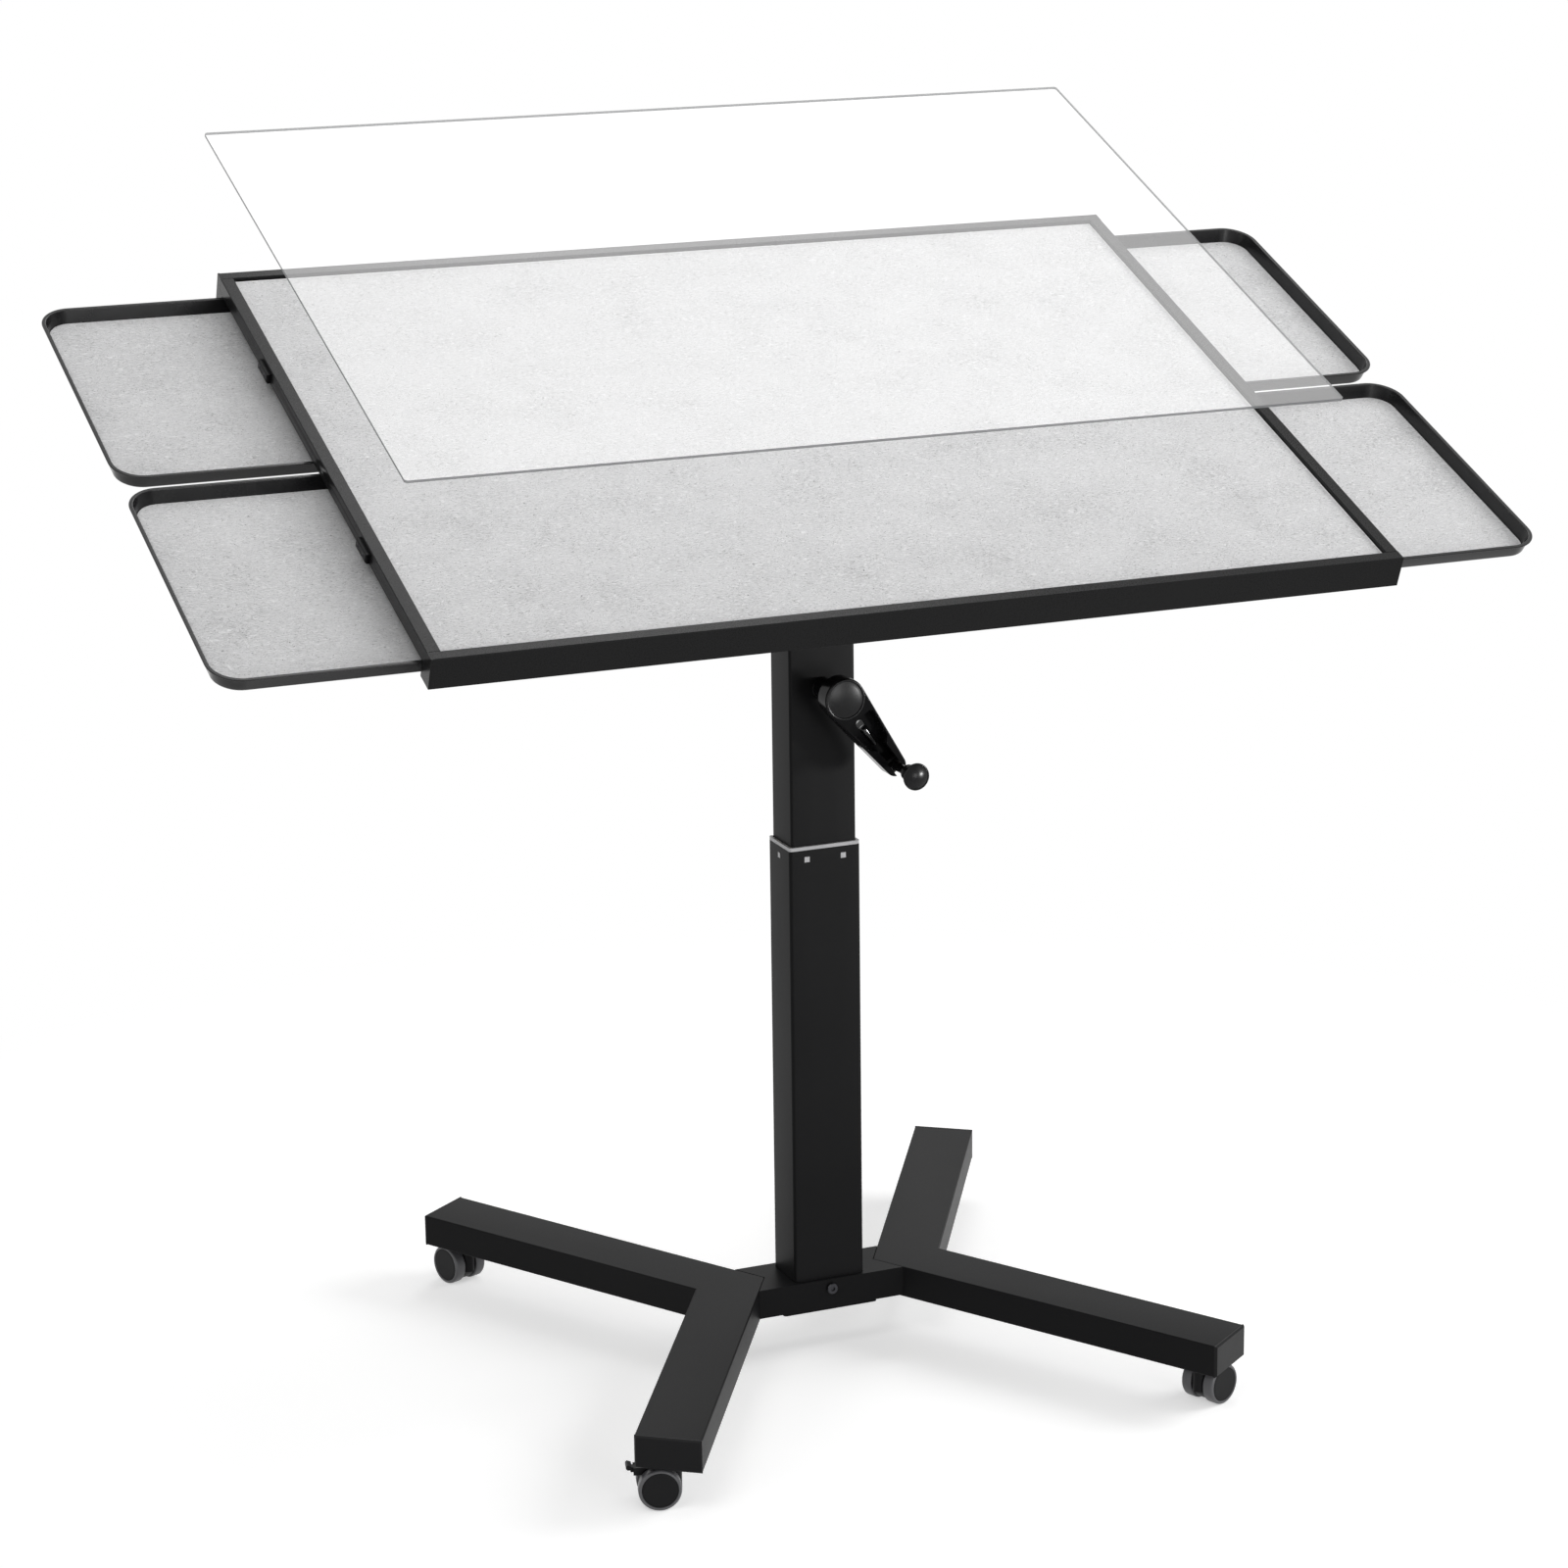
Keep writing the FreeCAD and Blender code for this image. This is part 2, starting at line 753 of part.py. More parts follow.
bar_bottom = leg_top - bar_tall
bar_half = bar_deep / 2
bar_reach = leg_apex + bar_half * run_x / run_y
crossbar = new_body("crossbar")
prism(
    crossbar,
    XY,
    bar_bottom,
    leg_top,
    polygon(
        [
            (-leg_apex, 0),
            (-bar_reach, -bar_half),
            (bar_reach, -bar_half),
            (leg_apex, 0),
            (bar_reach, bar_half),
            (-bar_reach, bar_half),
        ]
    ),
)
prism(
    crossbar,
    XY,
    bar_bottom + bar_wall,
    leg_top - bar_wall,
    box_of(-leg_apex - 40, leg_apex + 40, bar_wall - bar_half, bar_half - bar_wall),
    cut=True,
)
tube_half_wide = tube_wide / 2
tube_half_deep = tube_deep / 2
prism(
    crossbar,
    XY,
    leg_top - bar_wall - 1,
    leg_top + 1,
    rounded(tube_half_wide + bar_play, tube_half_deep + bar_play, tube_round + bar_play),
    cut=True,
)
cross_level = bar_bottom + cross_screw_up
prism(
    crossbar,
    XZ,
    -bar_half - 1,
    bar_half + 1,
    circle(0, cross_level, bolt_hole),
    cut=True,
)


def four_circles(radius):
    return both(
        circle(bolt_spread, bolt_offset, radius),
        circle(-bolt_spread, bolt_offset, radius),
        circle(bolt_spread, -bolt_offset, radius),
        circle(-bolt_spread, -bolt_offset, radius),
    )


prism(crossbar, XY, bar_bottom - 1, bar_bottom + bar_wall + 1, four_circles(bolt_hole), cut=True)
keep(crossbar, "crossbar")

plate_bottom = bar_bottom - plate_thick
base_plate = new_body("base_plate")
plate_feature = prism(
    base_plate,
    XY,
    plate_bottom,
    bar_bottom,
    rounded(plate_half, plate_deep / 2, plate_round),
)
prism(base_plate, XY, plate_bottom - 1, bar_bottom + 1, four_circles(bolt_hole), cut=True)
keep(base_plate, "base_plate")


def hexagon(radius):
    """A hexagon by its corner radius, flats towards Y."""
    half = radius / 2
    flat = radius * sine(60)
    return polygon(
        [(radius, 0), (half, flat), (-half, flat), (-radius, 0), (-half, -flat), (half, -flat)]
    )


def hex_screw(label, radius, head_radius, head_tall, length):
    """A hexagon-headed screw that points up, with its head below zero."""
    screw = new_body(label)
    prism(screw, XY, -head_tall, Size("0", 0), hexagon(head_radius))
    prism(screw, XY, Size("0", 0), length, circle(0, 0, radius))
    return screw


base_bolt = hex_screw("base_bolt_seed", bolt_radius, bolt_head_hex, bolt_head_tall, bolt_length)
bolt_placed = gathered("base_bolt_placed", [base_bolt])
bind(bolt_placed, ".Placement.Base.x", bolt_spread)
bind(bolt_placed, ".Placement.Base.y", bolt_offset)
bind(bolt_placed, ".Placement.Base.z", plate_bottom)
keep(four_ways(bolt_placed, "base_bolts"), "base_bolts")

cross_screw = new_body("cross_screw_seed")
prism(cross_screw, XY, -bolt_head_tall, Size("0", 0), circle(0, 0, bolt_head_radius))
prism(cross_screw, XY, Size("0", 0), cross_screw_length, circle(0, 0, bolt_radius))
cross_placed = gathered("cross_screw_placed", [cross_screw])
cross_placed.Placement = FreeCAD.Placement(
    VECTOR(0, 0, 0), FreeCAD.Rotation(VECTOR(-1, 0, 0), 90)
)
bind(cross_placed, ".Placement.Base.y", -bar_half)
bind(cross_placed, ".Placement.Base.z", cross_level)
cross_back = mirrored(cross_placed, "cross_screw_back", ACROSS_Y)
keep(gathered("cross_screws", [cross_placed, cross_back]), "cross_screws")

# ---------------------------------------------------------------- column

tube_foot = bar_bottom + bar_wall
outer_column = new_body("outer_column")
prism(
    outer_column,
    XY,
    tube_foot,
    tube_top,
    rounded(tube_half_wide, tube_half_deep, tube_round),
)
prism(
    outer_column,
    XY,
    tube_foot - 1,
    tube_top + 1,
    rounded(tube_half_wide - tube_wall, tube_half_deep - tube_wall, tube_round - tube_wall),
    cut=True,
)
prism(
    outer_column,
    XZ,
    -tube_half_deep - 1,
    tube_half_deep + 1,
    circle(0, cross_level, bolt_hole),
    cut=True,
)
button_level = tube_top + sleeve_flange - button_drop
half_button = button_size / 2
low_button = button_level - half_button
high_button = button_level + half_button
front_buttons = both(
    box_of(button_spread - half_button, button_spread + half_button, low_button, high_button),
    box_of(-button_spread - half_button, half_button - button_spread, low_button, high_button),
)
side_button = box_of(-half_button, half_button, low_button, high_button)
prism(outer_column, XZ, -tube_half_deep - 1, tube_half_deep + 1, front_buttons, cut=True)
prism(outer_column, YZ, -tube_half_wide - 1, tube_half_wide + 1, side_button, cut=True)
keep(outer_column, "outer_column")

sleeve_bottom = tube_top - sleeve_length
lining_wide = tube_half_wide - tube_wall - 0.1
lining_deep = tube_half_deep - tube_wall - 0.1
column_sleeve = new_body("column_sleeve")
prism(
    column_sleeve,
    XY,
    sleeve_bottom,
    tube_top,
    rounded(lining_wide, lining_deep, tube_round - tube_wall - 0.1),
)
prism(
    column_sleeve,
    XY,
    tube_top,
    tube_top + sleeve_flange,
    rounded(tube_half_wide, tube_half_deep, tube_round),
)
prism(
    column_sleeve,
    XZ,
    -tube_half_deep - button_proud,
    tube_half_deep + button_proud,
    front_buttons,
)
prism(
    column_sleeve,
    YZ,
    -tube_half_wide - button_proud,
    tube_half_wide + button_proud,
    side_button,
)
inner_half_wide = inner_wide / 2
inner_half_deep = inner_deep / 2
prism(
    column_sleeve,
    XY,
    sleeve_bottom - 1,
    tube_top + sleeve_flange + 1,
    rounded(
        inner_half_wide + sleeve_play, inner_half_deep + sleeve_play, inner_round + sleeve_play
    ),
    cut=True,
)
keep(column_sleeve, "column_sleeve")

block_top = tube_foot + post_block_tall
nut_post = new_body("nut_post")
prism(
    nut_post,
    XY,
    tube_foot,
    block_top,
    rounded(
        tube_half_wide - tube_wall - block_play,
        tube_half_deep - tube_wall - block_play,
        block_round,
    ),
)
prism(nut_post, XY, block_top, post_top, circle(0, 0, post_radius))
prism(nut_post, XY, block_top - 6, post_top + 1, circle(0, 0, post_bore), cut=True)
prism(nut_post, XY, tube_foot - 1, tube_foot + 15, four_circles(bolt_radius), cut=True)
screw_reach = cross_screw_length - (bar_half - tube_half_deep + tube_wall)
prism(
    nut_post,
    XZ,
    tube_half_deep - tube_wall - screw_reach - 1,
    tube_half_deep,
    circle(0, cross_level, bolt_radius),
    cut=True,
)
prism(
    nut_post,
    XZ,
    -tube_half_deep,
    screw_reach + tube_wall - tube_half_deep + 1,
    circle(0, cross_level, bolt_radius),
    cut=True,
)
keep(nut_post, "nut_post")

lift_nut = new_body("lift_nut")
lathe(
    lift_nut,
    XZ,
    "V_Axis",
    polygon(
        [
            (screw_radius + running_play, post_top - nut_spigot),
            (post_bore - 0.1, post_top - nut_spigot),
            (post_bore - 0.1, post_top),
            (nut_radius, post_top),
            (nut_radius, post_top + nut_tall),
            (screw_radius + running_play, post_top + nut_tall),
        ]
    ),
)
keep(lift_nut, "lift_nut")

inner_column = new_body("inner_column")
prism(
    inner_column,
    XY,
    inner_bottom,
    inner_top,
    rounded(inner_half_wide, inner_half_deep, inner_round),
)
prism(
    inner_column,
    XY,
    inner_bottom - 1,
    inner_top + 1,
    rounded(inner_half_wide - inner_wall, inner_half_deep - inner_wall, inner_round - inner_wall),
    cut=True,
)
prism(
    inner_column,
    XZ,
    Size("0", 0),
    inner_half_deep + 1,
    circle(0, crank_height, bush_radius + 0.1),
    cut=True,
)
keep(inner_column, "inner_column")

lower_guide = new_body("lower_guide")
guide_wide = tube_half_wide - tube_wall - sleeve_play
guide_deep = tube_half_deep - tube_wall - sleeve_play
prism(
    lower_guide,
    XY,
    inner_bottom - guide_foot,
    inner_bottom,
    rounded(guide_wide, guide_deep, guide_round),
)
prism(
    lower_guide,
    XY,
    inner_bottom,
    inner_bottom + guide_tall,
    rounded(
        inner_half_wide - inner_wall - plug_fit,
        inner_half_deep - inner_wall - plug_fit,
        guide_round,
    ),
)
prism(
    lower_guide,
    XY,
    inner_bottom - guide_foot - 1,
    inner_bottom + guide_tall + 1,
    circle(0, 0, guide_bore),
    cut=True,
)
keep(lower_guide, "lower_guide")

# ---------------------------------------------------------------- gearbox and lead screw

housing_bottom = crank_height - housing_below
housing_top = crank_height + housing_above
cavity_floor = crank_height - cavity_below
housing_wide = inner_half_wide - inner_wall - housing_play
housing_deep = inner_half_deep - inner_wall - housing_play
gearbox_housing = new_body("gearbox_housing")
prism(
    gearbox_housing,
    XY,
    housing_bottom,
    housing_top,
    rounded(housing_wide, housing_deep, housing_round),
)
prism(
    gearbox_housing,
    XY,
    cavity_floor,
    housing_top + 1,
    box_of(-cavity_half, cavity_half, -cavity_depth, cavity_depth),
    cut=True,
)
prism(
    gearbox_housing,
    XY,
    housing_bottom - 1,
    cavity_floor + 1,
    circle(0, 0, journal_radius + running_play),
    cut=True,
)
prism(
    gearbox_housing,
    XZ,
    cavity_depth - 1,
    housing_deep + 1,
    circle(0, crank_height, bush_radius),
    cut=True,
)
keep(gearbox_housing, "gearbox_housing")

tube_face = inner_half_deep
shaft_bush = new_body("shaft_bush")
lathe(
    shaft_bush,
    XY,
    "V_Axis",
    polygon(
        [
            (shaft_radius + running_play, -tube_face - bush_flange_thick),
            (bush_flange - 0.5, -tube_face - bush_flange_thick),
            (bush_flange, 0.5 - tube_face - bush_flange_thick),
            (bush_flange, -tube_face),
            (bush_radius, -tube_face),
            (bush_radius, -cavity_depth - axial_play),
            (shaft_radius + running_play, -cavity_depth - axial_play),
        ]
    ),
)
at_height(shaft_bush, crank_height)
keep(shaft_bush, "shaft_bush")

gear_seat = cavity_floor + axial_play
lead_screw = new_body("lead_screw")
lathe(
    lead_screw,
    XZ,
    "V_Axis",
    polygon(
        [
            (0, screw_bottom),
            (screw_radius - 1, screw_bottom),
            (screw_radius, screw_bottom + 1),
            (screw_radius, housing_bottom - axial_play - 4),
            (screw_collar, housing_bottom - axial_play - 4),
            (screw_collar, housing_bottom - axial_play),
            (journal_radius, housing_bottom - axial_play),
            (journal_radius, gear_seat),
            (shaft_radius, gear_seat),
            (shaft_radius, crank_height - gear_inner),
            (0, crank_height - gear_inner),
        ]
    ),
)
keep(lead_screw, "lead_screw")


def twelve_sided(radius):
    """A regular polygon by its corner radius, with one flat for each tooth."""
    corners = []
    step = FULL_TURN / GEAR_TEETH
    for k in range(GEAR_TEETH):
        turn = step * k + step / 2
        corners.append((radius * cosine(turn), radius * sine(turn)))
    return polygon(corners)


def bevel_gear(label, back):
    """A straight-toothed bevel gear below its cone's tip, which is the origin."""
    gear = new_body(label)
    near = gear_inner / gear_distance
    prism(gear, XY, -back, -gear_distance, twelve_sided(gear_root))
    cone = []
    for distance, size in ((gear_distance, 1.0), (gear_inner, near)):
        sketch = new_sketch(gear, XY, -distance)
        twelve_sided(gear_root * size)(sketch)
        sketch.Visibility = False
        cone.append(sketch)
    body = gear.newObject("PartDesign::AdditiveLoft", "Cone")
    body.Profile = cone[0]
    body.Sections = [cone[1]]
    body.Ruled = True
    sections = []
    for distance, size in ((gear_distance, 1.0), (gear_inner, near)):
        sketch = new_sketch(gear, XY, -distance)
        foot = -(gear_root - gear_sunk) * size
        tip = -gear_tip * size
        polygon(
            [
                (tooth_root_half * size, foot),
                (tooth_tip_half * size, tip),
                (-tooth_tip_half * size, tip),
                (-tooth_root_half * size, foot),
            ]
        )(sketch)
        sketch.Visibility = False
        sections.append(sketch)
    tooth = gear.newObject("PartDesign::AdditiveLoft", "Tooth")
    tooth.Profile = sections[0]
    tooth.Sections = [sections[1]]
    tooth.Ruled = True
    pattern = gear.newObject("PartDesign::PolarPattern", "Teeth")
    pattern.Originals = [tooth]
    pattern.Axis = (plane_of(gear, "Z_Axis"), [""])
    pattern.Angle = FULL_TURN
    pattern.Occurrences = GEAR_TEETH
    gear.Tip = pattern
    prism(gear, XY, -back - 1, 1 - gear_inner, circle(0, 0, shaft_radius), cut=True)
    return gear


driven_gear = bevel_gear("driven_gear", cavity_below - axial_play)
at_height(driven_gear, crank_height)
keep(driven_gear, "driven_gear")
drive_gear = bevel_gear("drive_gear", cavity_depth - axial_play)
quarter = FreeCAD.Rotation(VECTOR(1, 0, 0), -90)
half_pitch = FreeCAD.Rotation(VECTOR(0, 0, 1), FULL_TURN / GEAR_TEETH / 2)
drive_gear.Placement = FreeCAD.Placement(VECTOR(0, 0, 0), quarter.multiply(half_pitch))
at_height(drive_gear, crank_height)
keep(drive_gear, "drive_gear")

crank_shaft = new_body("crank_shaft")
lathe(
    crank_shaft,
    XY,
    "V_Axis",
    polygon(
        [
            (0, -arm_front),
            (shaft_radius - 0.5, -arm_front),
            (shaft_radius, 0.5 - arm_front),
            (shaft_radius, -gear_inner),
            (0, -gear_inner),
        ]
    ),
)
at_height(crank_shaft, crank_height)
keep(crank_shaft, "crank_shaft")

# ---------------------------------------------------------------- crank arm and handle


def on_crank(item):
    """Turn an object of the crank's frame so that its X runs down the arm."""
    item.Placement = FreeCAD.Placement(VECTOR(0, 0, 0), FreeCAD.Rotation(VECTOR(0, 1, 0), 10))
    bind(item, ".Placement.Base.z", crank_height)
    bind(item, ".Placement.Rotation.Angle", crank_angle)
    return item


def arm_plan(big, small, length):
    """Two arcs joined by their outer tangents."""

    def draw(sketch):
        a = number(big)
        b = number(small)
        d = number(length)
        lean = math.degrees(math.acos((a - b) / d))
        ca = math.cos(math.radians(lean))
        sa = math.sin(math.radians(lean))
        g0 = arc(sketch, 0, 0, a, lean, 360 - lean)
        g1 = line(sketch, a * ca, -a * sa, d + b * ca, -b * sa)
        g2 = arc(sketch, d, 0, b, -lean, lean)
        g3 = line(sketch, d + b * ca, b * sa, a * ca, a * sa)
        order = (g0, g1, g2, g3)
        for k in range(4):
            link = Sketcher.Constraint("Tangent", order[k], 2, order[(k + 1) % 4], 1)
            sketch.addConstraint(link)
        for item, size in ((g0, big), (g2, small)):
            index = sketch.addConstraint(Sketcher.Constraint("Radius", item, number(size)))
            bind(sketch, "Constraints[%d]" % index, size)
        sketch.addConstraint(Sketcher.Constraint("Coincident", g0, 3, -1, 1))
        pin_point(sketch, g2, 3, length, 0)

    return draw


crank_arm = new_body("crank_arm")
arm_pad = prism(crank_arm, XZ, arm_back, arm_front, arm_plan(hub_radius, tip_radius, arm_length))


def arm_rim(middle, edge):
    return abs(middle.y + number(arm_front)) < 0.01 or abs(middle.y + number(arm_back)) < 0.01


bevel_edges(crank_arm, arm_pad, arm_edge, arm_rim)
boss_back = tube_face + bush_flange_thick + axial_play
prism(crank_arm, XZ, boss_back, arm_back + 1, circle(0, 0, boss_radius))
prism(crank_arm, XZ, boss_back - 1, arm_front + 1, circle(0, 0, shaft_radius), cut=True)
prism(
    crank_arm,
    XZ,
    arm_back + arm_floor,
    arm_front + 1,
    polygon(
        [
            (recess_start, -recess_wide + 3),
            (recess_start + 3, -recess_wide),
            (recess_far, -recess_far_wide),
            (slot_start, -slot_wide),
            (arm_length + tip_radius + 1, -slot_wide),
            (arm_length + tip_radius + 1, slot_wide),
            (slot_start, slot_wide),
            (recess_far, recess_far_wide),
            (recess_start + 3, recess_wide),
            (recess_start, recess_wide - 3),
        ]
    ),
    cut=True,
)
fold_level = arm_front - fold_depth
pin_seat = new_sketch(crank_arm, XY, -fold_pin_half - 0.1)
circle(arm_length, -fold_level, fold_pin_radius)(pin_seat)
pin_hole = crank_arm.newObject("PartDesign::Pocket", "PinHole")
pin_hole.Profile = pin_seat
pin_hole.Reversed = True
bind(pin_hole, "Length", fold_pin_half * 2 + 0.2)
keep(on_crank(crank_arm), "crank_arm")

hub_cap = new_body("hub_cap")
lathe(
    hub_cap,
    XY,
    "V_Axis",
    polygon(
        [
            (0, -arm_front - hub_cap_thick),
            (hub_cap_radius - 0.8, -arm_front - hub_cap_thick),
            (hub_cap_radius, 0.8 - arm_front - hub_cap_thick),
            (hub_cap_radius, -arm_front),
            (0, -arm_front),
        ]
    ),
)
keep(on_crank(hub_cap), "hub_cap")

fold_pin = new_body("fold_pin")
prism(fold_pin, XY, -fold_pin_half, fold_pin_half, circle(arm_length, -fold_level, fold_pin_radius))
keep(on_crank(fold_pin), "fold_pin")

knob_stem = new_body("knob_stem")
prism(knob_stem, XY, -stem_eye_half, stem_eye_half, circle(arm_length, -fold_level, stem_eye))
stem_end = knob_back - axial_play
prism(knob_stem, XZ, fold_level, stem_end, circle(arm_length, 0, stem_radius))
prism(knob_stem, XZ, stem_end, knob_front - 2, circle(arm_length, 0, knob_axle))
prism(
    knob_stem,
    XY,
    -stem_eye_half - 1,
    stem_eye_half + 1,
    circle(arm_length, -fold_level, fold_pin_radius + running_play),
    cut=True,
)
keep(on_crank(knob_stem), "knob_stem")

crank_knob = new_body("crank_knob")
lathe(
    crank_knob,
    XY,
    "V_Axis",
    polygon(
        [
            (knob_axle + running_play, -knob_back),
            (knob_neck, -knob_back),
            (knob_neck, -knob_back - knob_neck_long),
            (knob_radius, -knob_back - knob_neck_long - knob_flare),
            (knob_radius, knob_crown - knob_front),
            (knob_radius - knob_crown, -knob_front),
            (0, -knob_front),
            (0, knob_end_wall - knob_front),
            (knob_axle + running_play, knob_end_wall - knob_front),
        ]
    ),
    shift=(arm_length, 0),
)
keep(on_crank(crank_knob), "crank_knob")

# ---------------------------------------------------------------- head and tilt

cheek_outer = cheek_inner + cheek_thick
head_bracket = new_body("head_bracket")
prism(
    head_bracket,
    XY,
    inner_top,
    inner_top + head_thick,
    rounded(inner_half_wide, inner_half_deep, inner_round),
)
prism(
    head_bracket,
    XY,
    inner_top - plug_deep,
    inner_top,
    rounded(
        inner_half_wide - inner_wall - plug_fit,
        inner_half_deep - inner_wall - plug_fit,
        guide_round,
    ),
)
head_top = inner_top + head_thick
cheek_plan = both(
    box_of(cheek_inner, cheek_outer, 1 - inner_half_deep, inner_half_deep - 1),
    box_of(-cheek_outer, -cheek_inner, 1 - inner_half_deep, inner_half_deep - 1),
)
prism(head_bracket, XY, head_top, head_top + cheek_foot, cheek_plan)


cheek_side = polygon(
    [
        (1 - inner_half_deep, head_top + cheek_foot),
        (inner_half_deep - 1, head_top + cheek_foot),
        (pivot_round * 0.98, pivot_height),
        (-pivot_round * 0.98, pivot_height),
    ]
)
for low in (cheek_inner, -cheek_outer):
    prism(head_bracket, YZ, low, low + cheek_thick, cheek_side)
    prism(head_bracket, YZ, low, low + cheek_thick, circle(0, pivot_height, pivot_round))
prism(
    head_bracket,
    YZ,
    -cheek_outer - 1,
    cheek_outer + 1,
    circle(0, pivot_height, pivot_radius),
    cut=True,
)
keep(head_bracket, "head_bracket")

ear_inner = cheek_outer + ear_gap
ear_outer = ear_inner + ear_thick
web_level = -spine_drop
plate_level = web_level - bracket_plate
tilt_bracket = new_body("tilt_bracket")
prism(
    tilt_bracket,
    XY,
    plate_level,
    web_level,
    rounded(ear_outer, bracket_half, bracket_round, (Size("0", 0), -pivot_forward)),
)
for low in (ear_inner, -ear_outer):
    prism(
        tilt_bracket,
        YZ,
        low,
        low + ear_thick,
        polygon(
            [
                (4 - pivot_forward - bracket_half, plate_level + 0.5),
                (-pivot_round * 0.98 - pivot_forward, -pivot_drop),
                (pivot_round * 0.98 - pivot_forward, -pivot_drop),
                (bracket_half - pivot_forward - 4, plate_level + 0.5),
            ]
        ),
    )
    prism(
        tilt_bracket,
        YZ,
        low,
        low + ear_thick,
        circle(-pivot_forward, -pivot_drop, pivot_round),
    )
prism(
    tilt_bracket,
    YZ,
    -ear_outer - 1,
    ear_outer + 1,
    circle(-pivot_forward, -pivot_drop, pivot_radius + running_play),
    cut=True,
)
bracket_x = cheek_inner - 8
bracket_v = bracket_half - 8


def bracket_holes(radius):
    return both(
        circle(bracket_x, bracket_v - pivot_forward, radius),
        circle(-bracket_x, bracket_v - pivot_forward, radius),
        circle(bracket_x, -bracket_v - pivot_forward, radius),
        circle(-bracket_x, -bracket_v - pivot_forward, radius),
    )


bracket_bores = bracket_holes(bracket_screw_radius)
prism(tilt_bracket, XY, plate_level - 1, web_level + 1, bracket_bores, cut=True)
keep(on_board(tilt_bracket), "tilt_bracket")

bracket_screw = hex_screw(
    "bracket_screw_seed",
    bracket_screw_radius,
    bracket_head_hex,
    bracket_head_tall,
    bracket_screw_length,
)
bracket_placed = gathered("bracket_screw_placed", [bracket_screw])
bind(bracket_placed, ".Placement.Base.x", bracket_x)
bind(bracket_placed, ".Placement.Base.y", bracket_v)
bracket_four = four_ways(bracket_placed, "bracket_screws")
keep(on_board(bracket_four, 0, -pivot_forward, plate_level), "bracket_screws")

pivot_bolt = new_body("pivot_bolt")
knob_inner_face = ear_outer + axial_play
knob_outer_face = knob_inner_face + tilt_knob_thick
lathe(
    pivot_bolt,
    XZ,
    "H_Axis",
    polygon(
        [
            (-ear_outer - bolt_cap_thick - axial_play, 0),
            (-ear_outer - bolt_cap_thick - axial_play, bolt_cap_radius - 1),
            (1 - ear_outer - bolt_cap_thick - axial_play, bolt_cap_radius),
            (-ear_outer - axial_play, bolt_cap_radius),
            (-ear_outer - axial_play, pivot_radius),
            (knob_outer_face - 4, pivot_radius),
            (knob_outer_face - 4, 0),
        ]
    ),
)
at_height(pivot_bolt, pivot_height)
keep(pivot_bolt, "pivot_bolt")

tilt_knob = new_body("tilt_knob")
lathe(
    tilt_knob,
    XZ,
    "H_Axis",
    polygon(
        [
            (knob_inner_face, 0),
            (knob_inner_face, tilt_knob_boss),
            (knob_inner_face + tilt_knob_boss_long, tilt_knob_boss),
            (knob_inner_face + tilt_knob_boss_long, tilt_knob_radius),
            (knob_outer_face - tilt_knob_crown, tilt_knob_radius),
            (knob_outer_face, tilt_knob_radius - tilt_knob_crown),
            (knob_outer_face, 0),
        ]
    ),
)
lobe = new_sketch(tilt_knob, YZ, knob_inner_face + tilt_knob_boss_long - 1)
circle(tilt_knob_radius + tilt_knob_lobe - 3, 0, tilt_knob_lobe)(lobe)
lobe_cut = tilt_knob.newObject("PartDesign::Pocket", "LobeCut")
lobe_cut.Profile = lobe
lobe_cut.Reversed = True
bind(lobe_cut, "Length", tilt_knob_thick + 2)
lobes = tilt_knob.newObject("PartDesign::PolarPattern", "Lobes")
lobes.Originals = [lobe_cut]
lobes.Axis = (plane_of(tilt_knob, "X_Axis"), [""])
lobes.Angle = FULL_TURN
lobes.Occurrences = 6
tilt_knob.Tip = lobes
prism(
    tilt_knob,
    YZ,
    knob_inner_face - 1,
    knob_outer_face - 3.7,
    circle(0, 0, pivot_radius + running_play),
    cut=True,
)
at_height(tilt_knob, pivot_height)
keep(tilt_knob, "tilt_knob")

# ---------------------------------------------------------------- board

half_width = board_width / 2
half_depth = board_depth / 2
rail_half = half_width - end_cap_thick
groove_top = -ledge_drop - ledge_thick
groove_bottom = groove_top - groove_tall


def rail_profile(side):
    """The section of the front (side -1) or back (side 1) rail."""
    edge = half_depth * side
    points = [
        (0, 0),
        (rail_top, 0),
        (rail_top, -ledge_drop),
        (rail_foot, -ledge_drop),
        (rail_foot, groove_top),
        (rail_foot - groove_depth, groove_top),
        (rail_foot - groove_depth, groove_bottom),
        (rail_foot, groove_bottom),
        (rail_foot, -rail_tall),
        (0, -rail_tall),
    ]
    return polygon([(edge - deep * side, level) for deep, level in points])


def chamber(side, inset, lower):
    edge = half_depth * side
    top = groove_bottom - chamber_wall if lower else -chamber_wall
    foot = chamber_wall - rail_tall if lower else groove_bottom
    far = rail_foot if lower else rail_top
    near = edge - (chamber_wall + inset) * side
    back = edge - (far - chamber_wall - inset) * side
    return polygon(
        [(near, top - inset), (back, top - inset), (back, foot + inset), (near, foot + inset)]
    )


for side, label in ((-1, "front_rail"), (1, "back_rail")):
    rail = new_body(label)
    bar = prism(rail, YZ, -rail_half, rail_half, rail_profile(side))

    def top_edge(middle, edge):
        outer = abs(middle.y - side * number(half_depth)) < 0.01
        inner = abs(middle.y - side * number(half_depth - rail_top)) < 0.01
        return abs(middle.z) < 0.01 and edge.Length > number(rail_half) and (outer or inner)

    bevel_edges(rail, bar, rail_chamfer, top_edge)
    nothing = Size("0", 0)
    prism(rail, YZ, -rail_half - 1, rail_half + 1, chamber(side, nothing, True), cut=True)
    prism(rail, YZ, -rail_half - 1, rail_half + 1, chamber(side, nothing, False), cut=True)
    keep(on_board(rail), label)

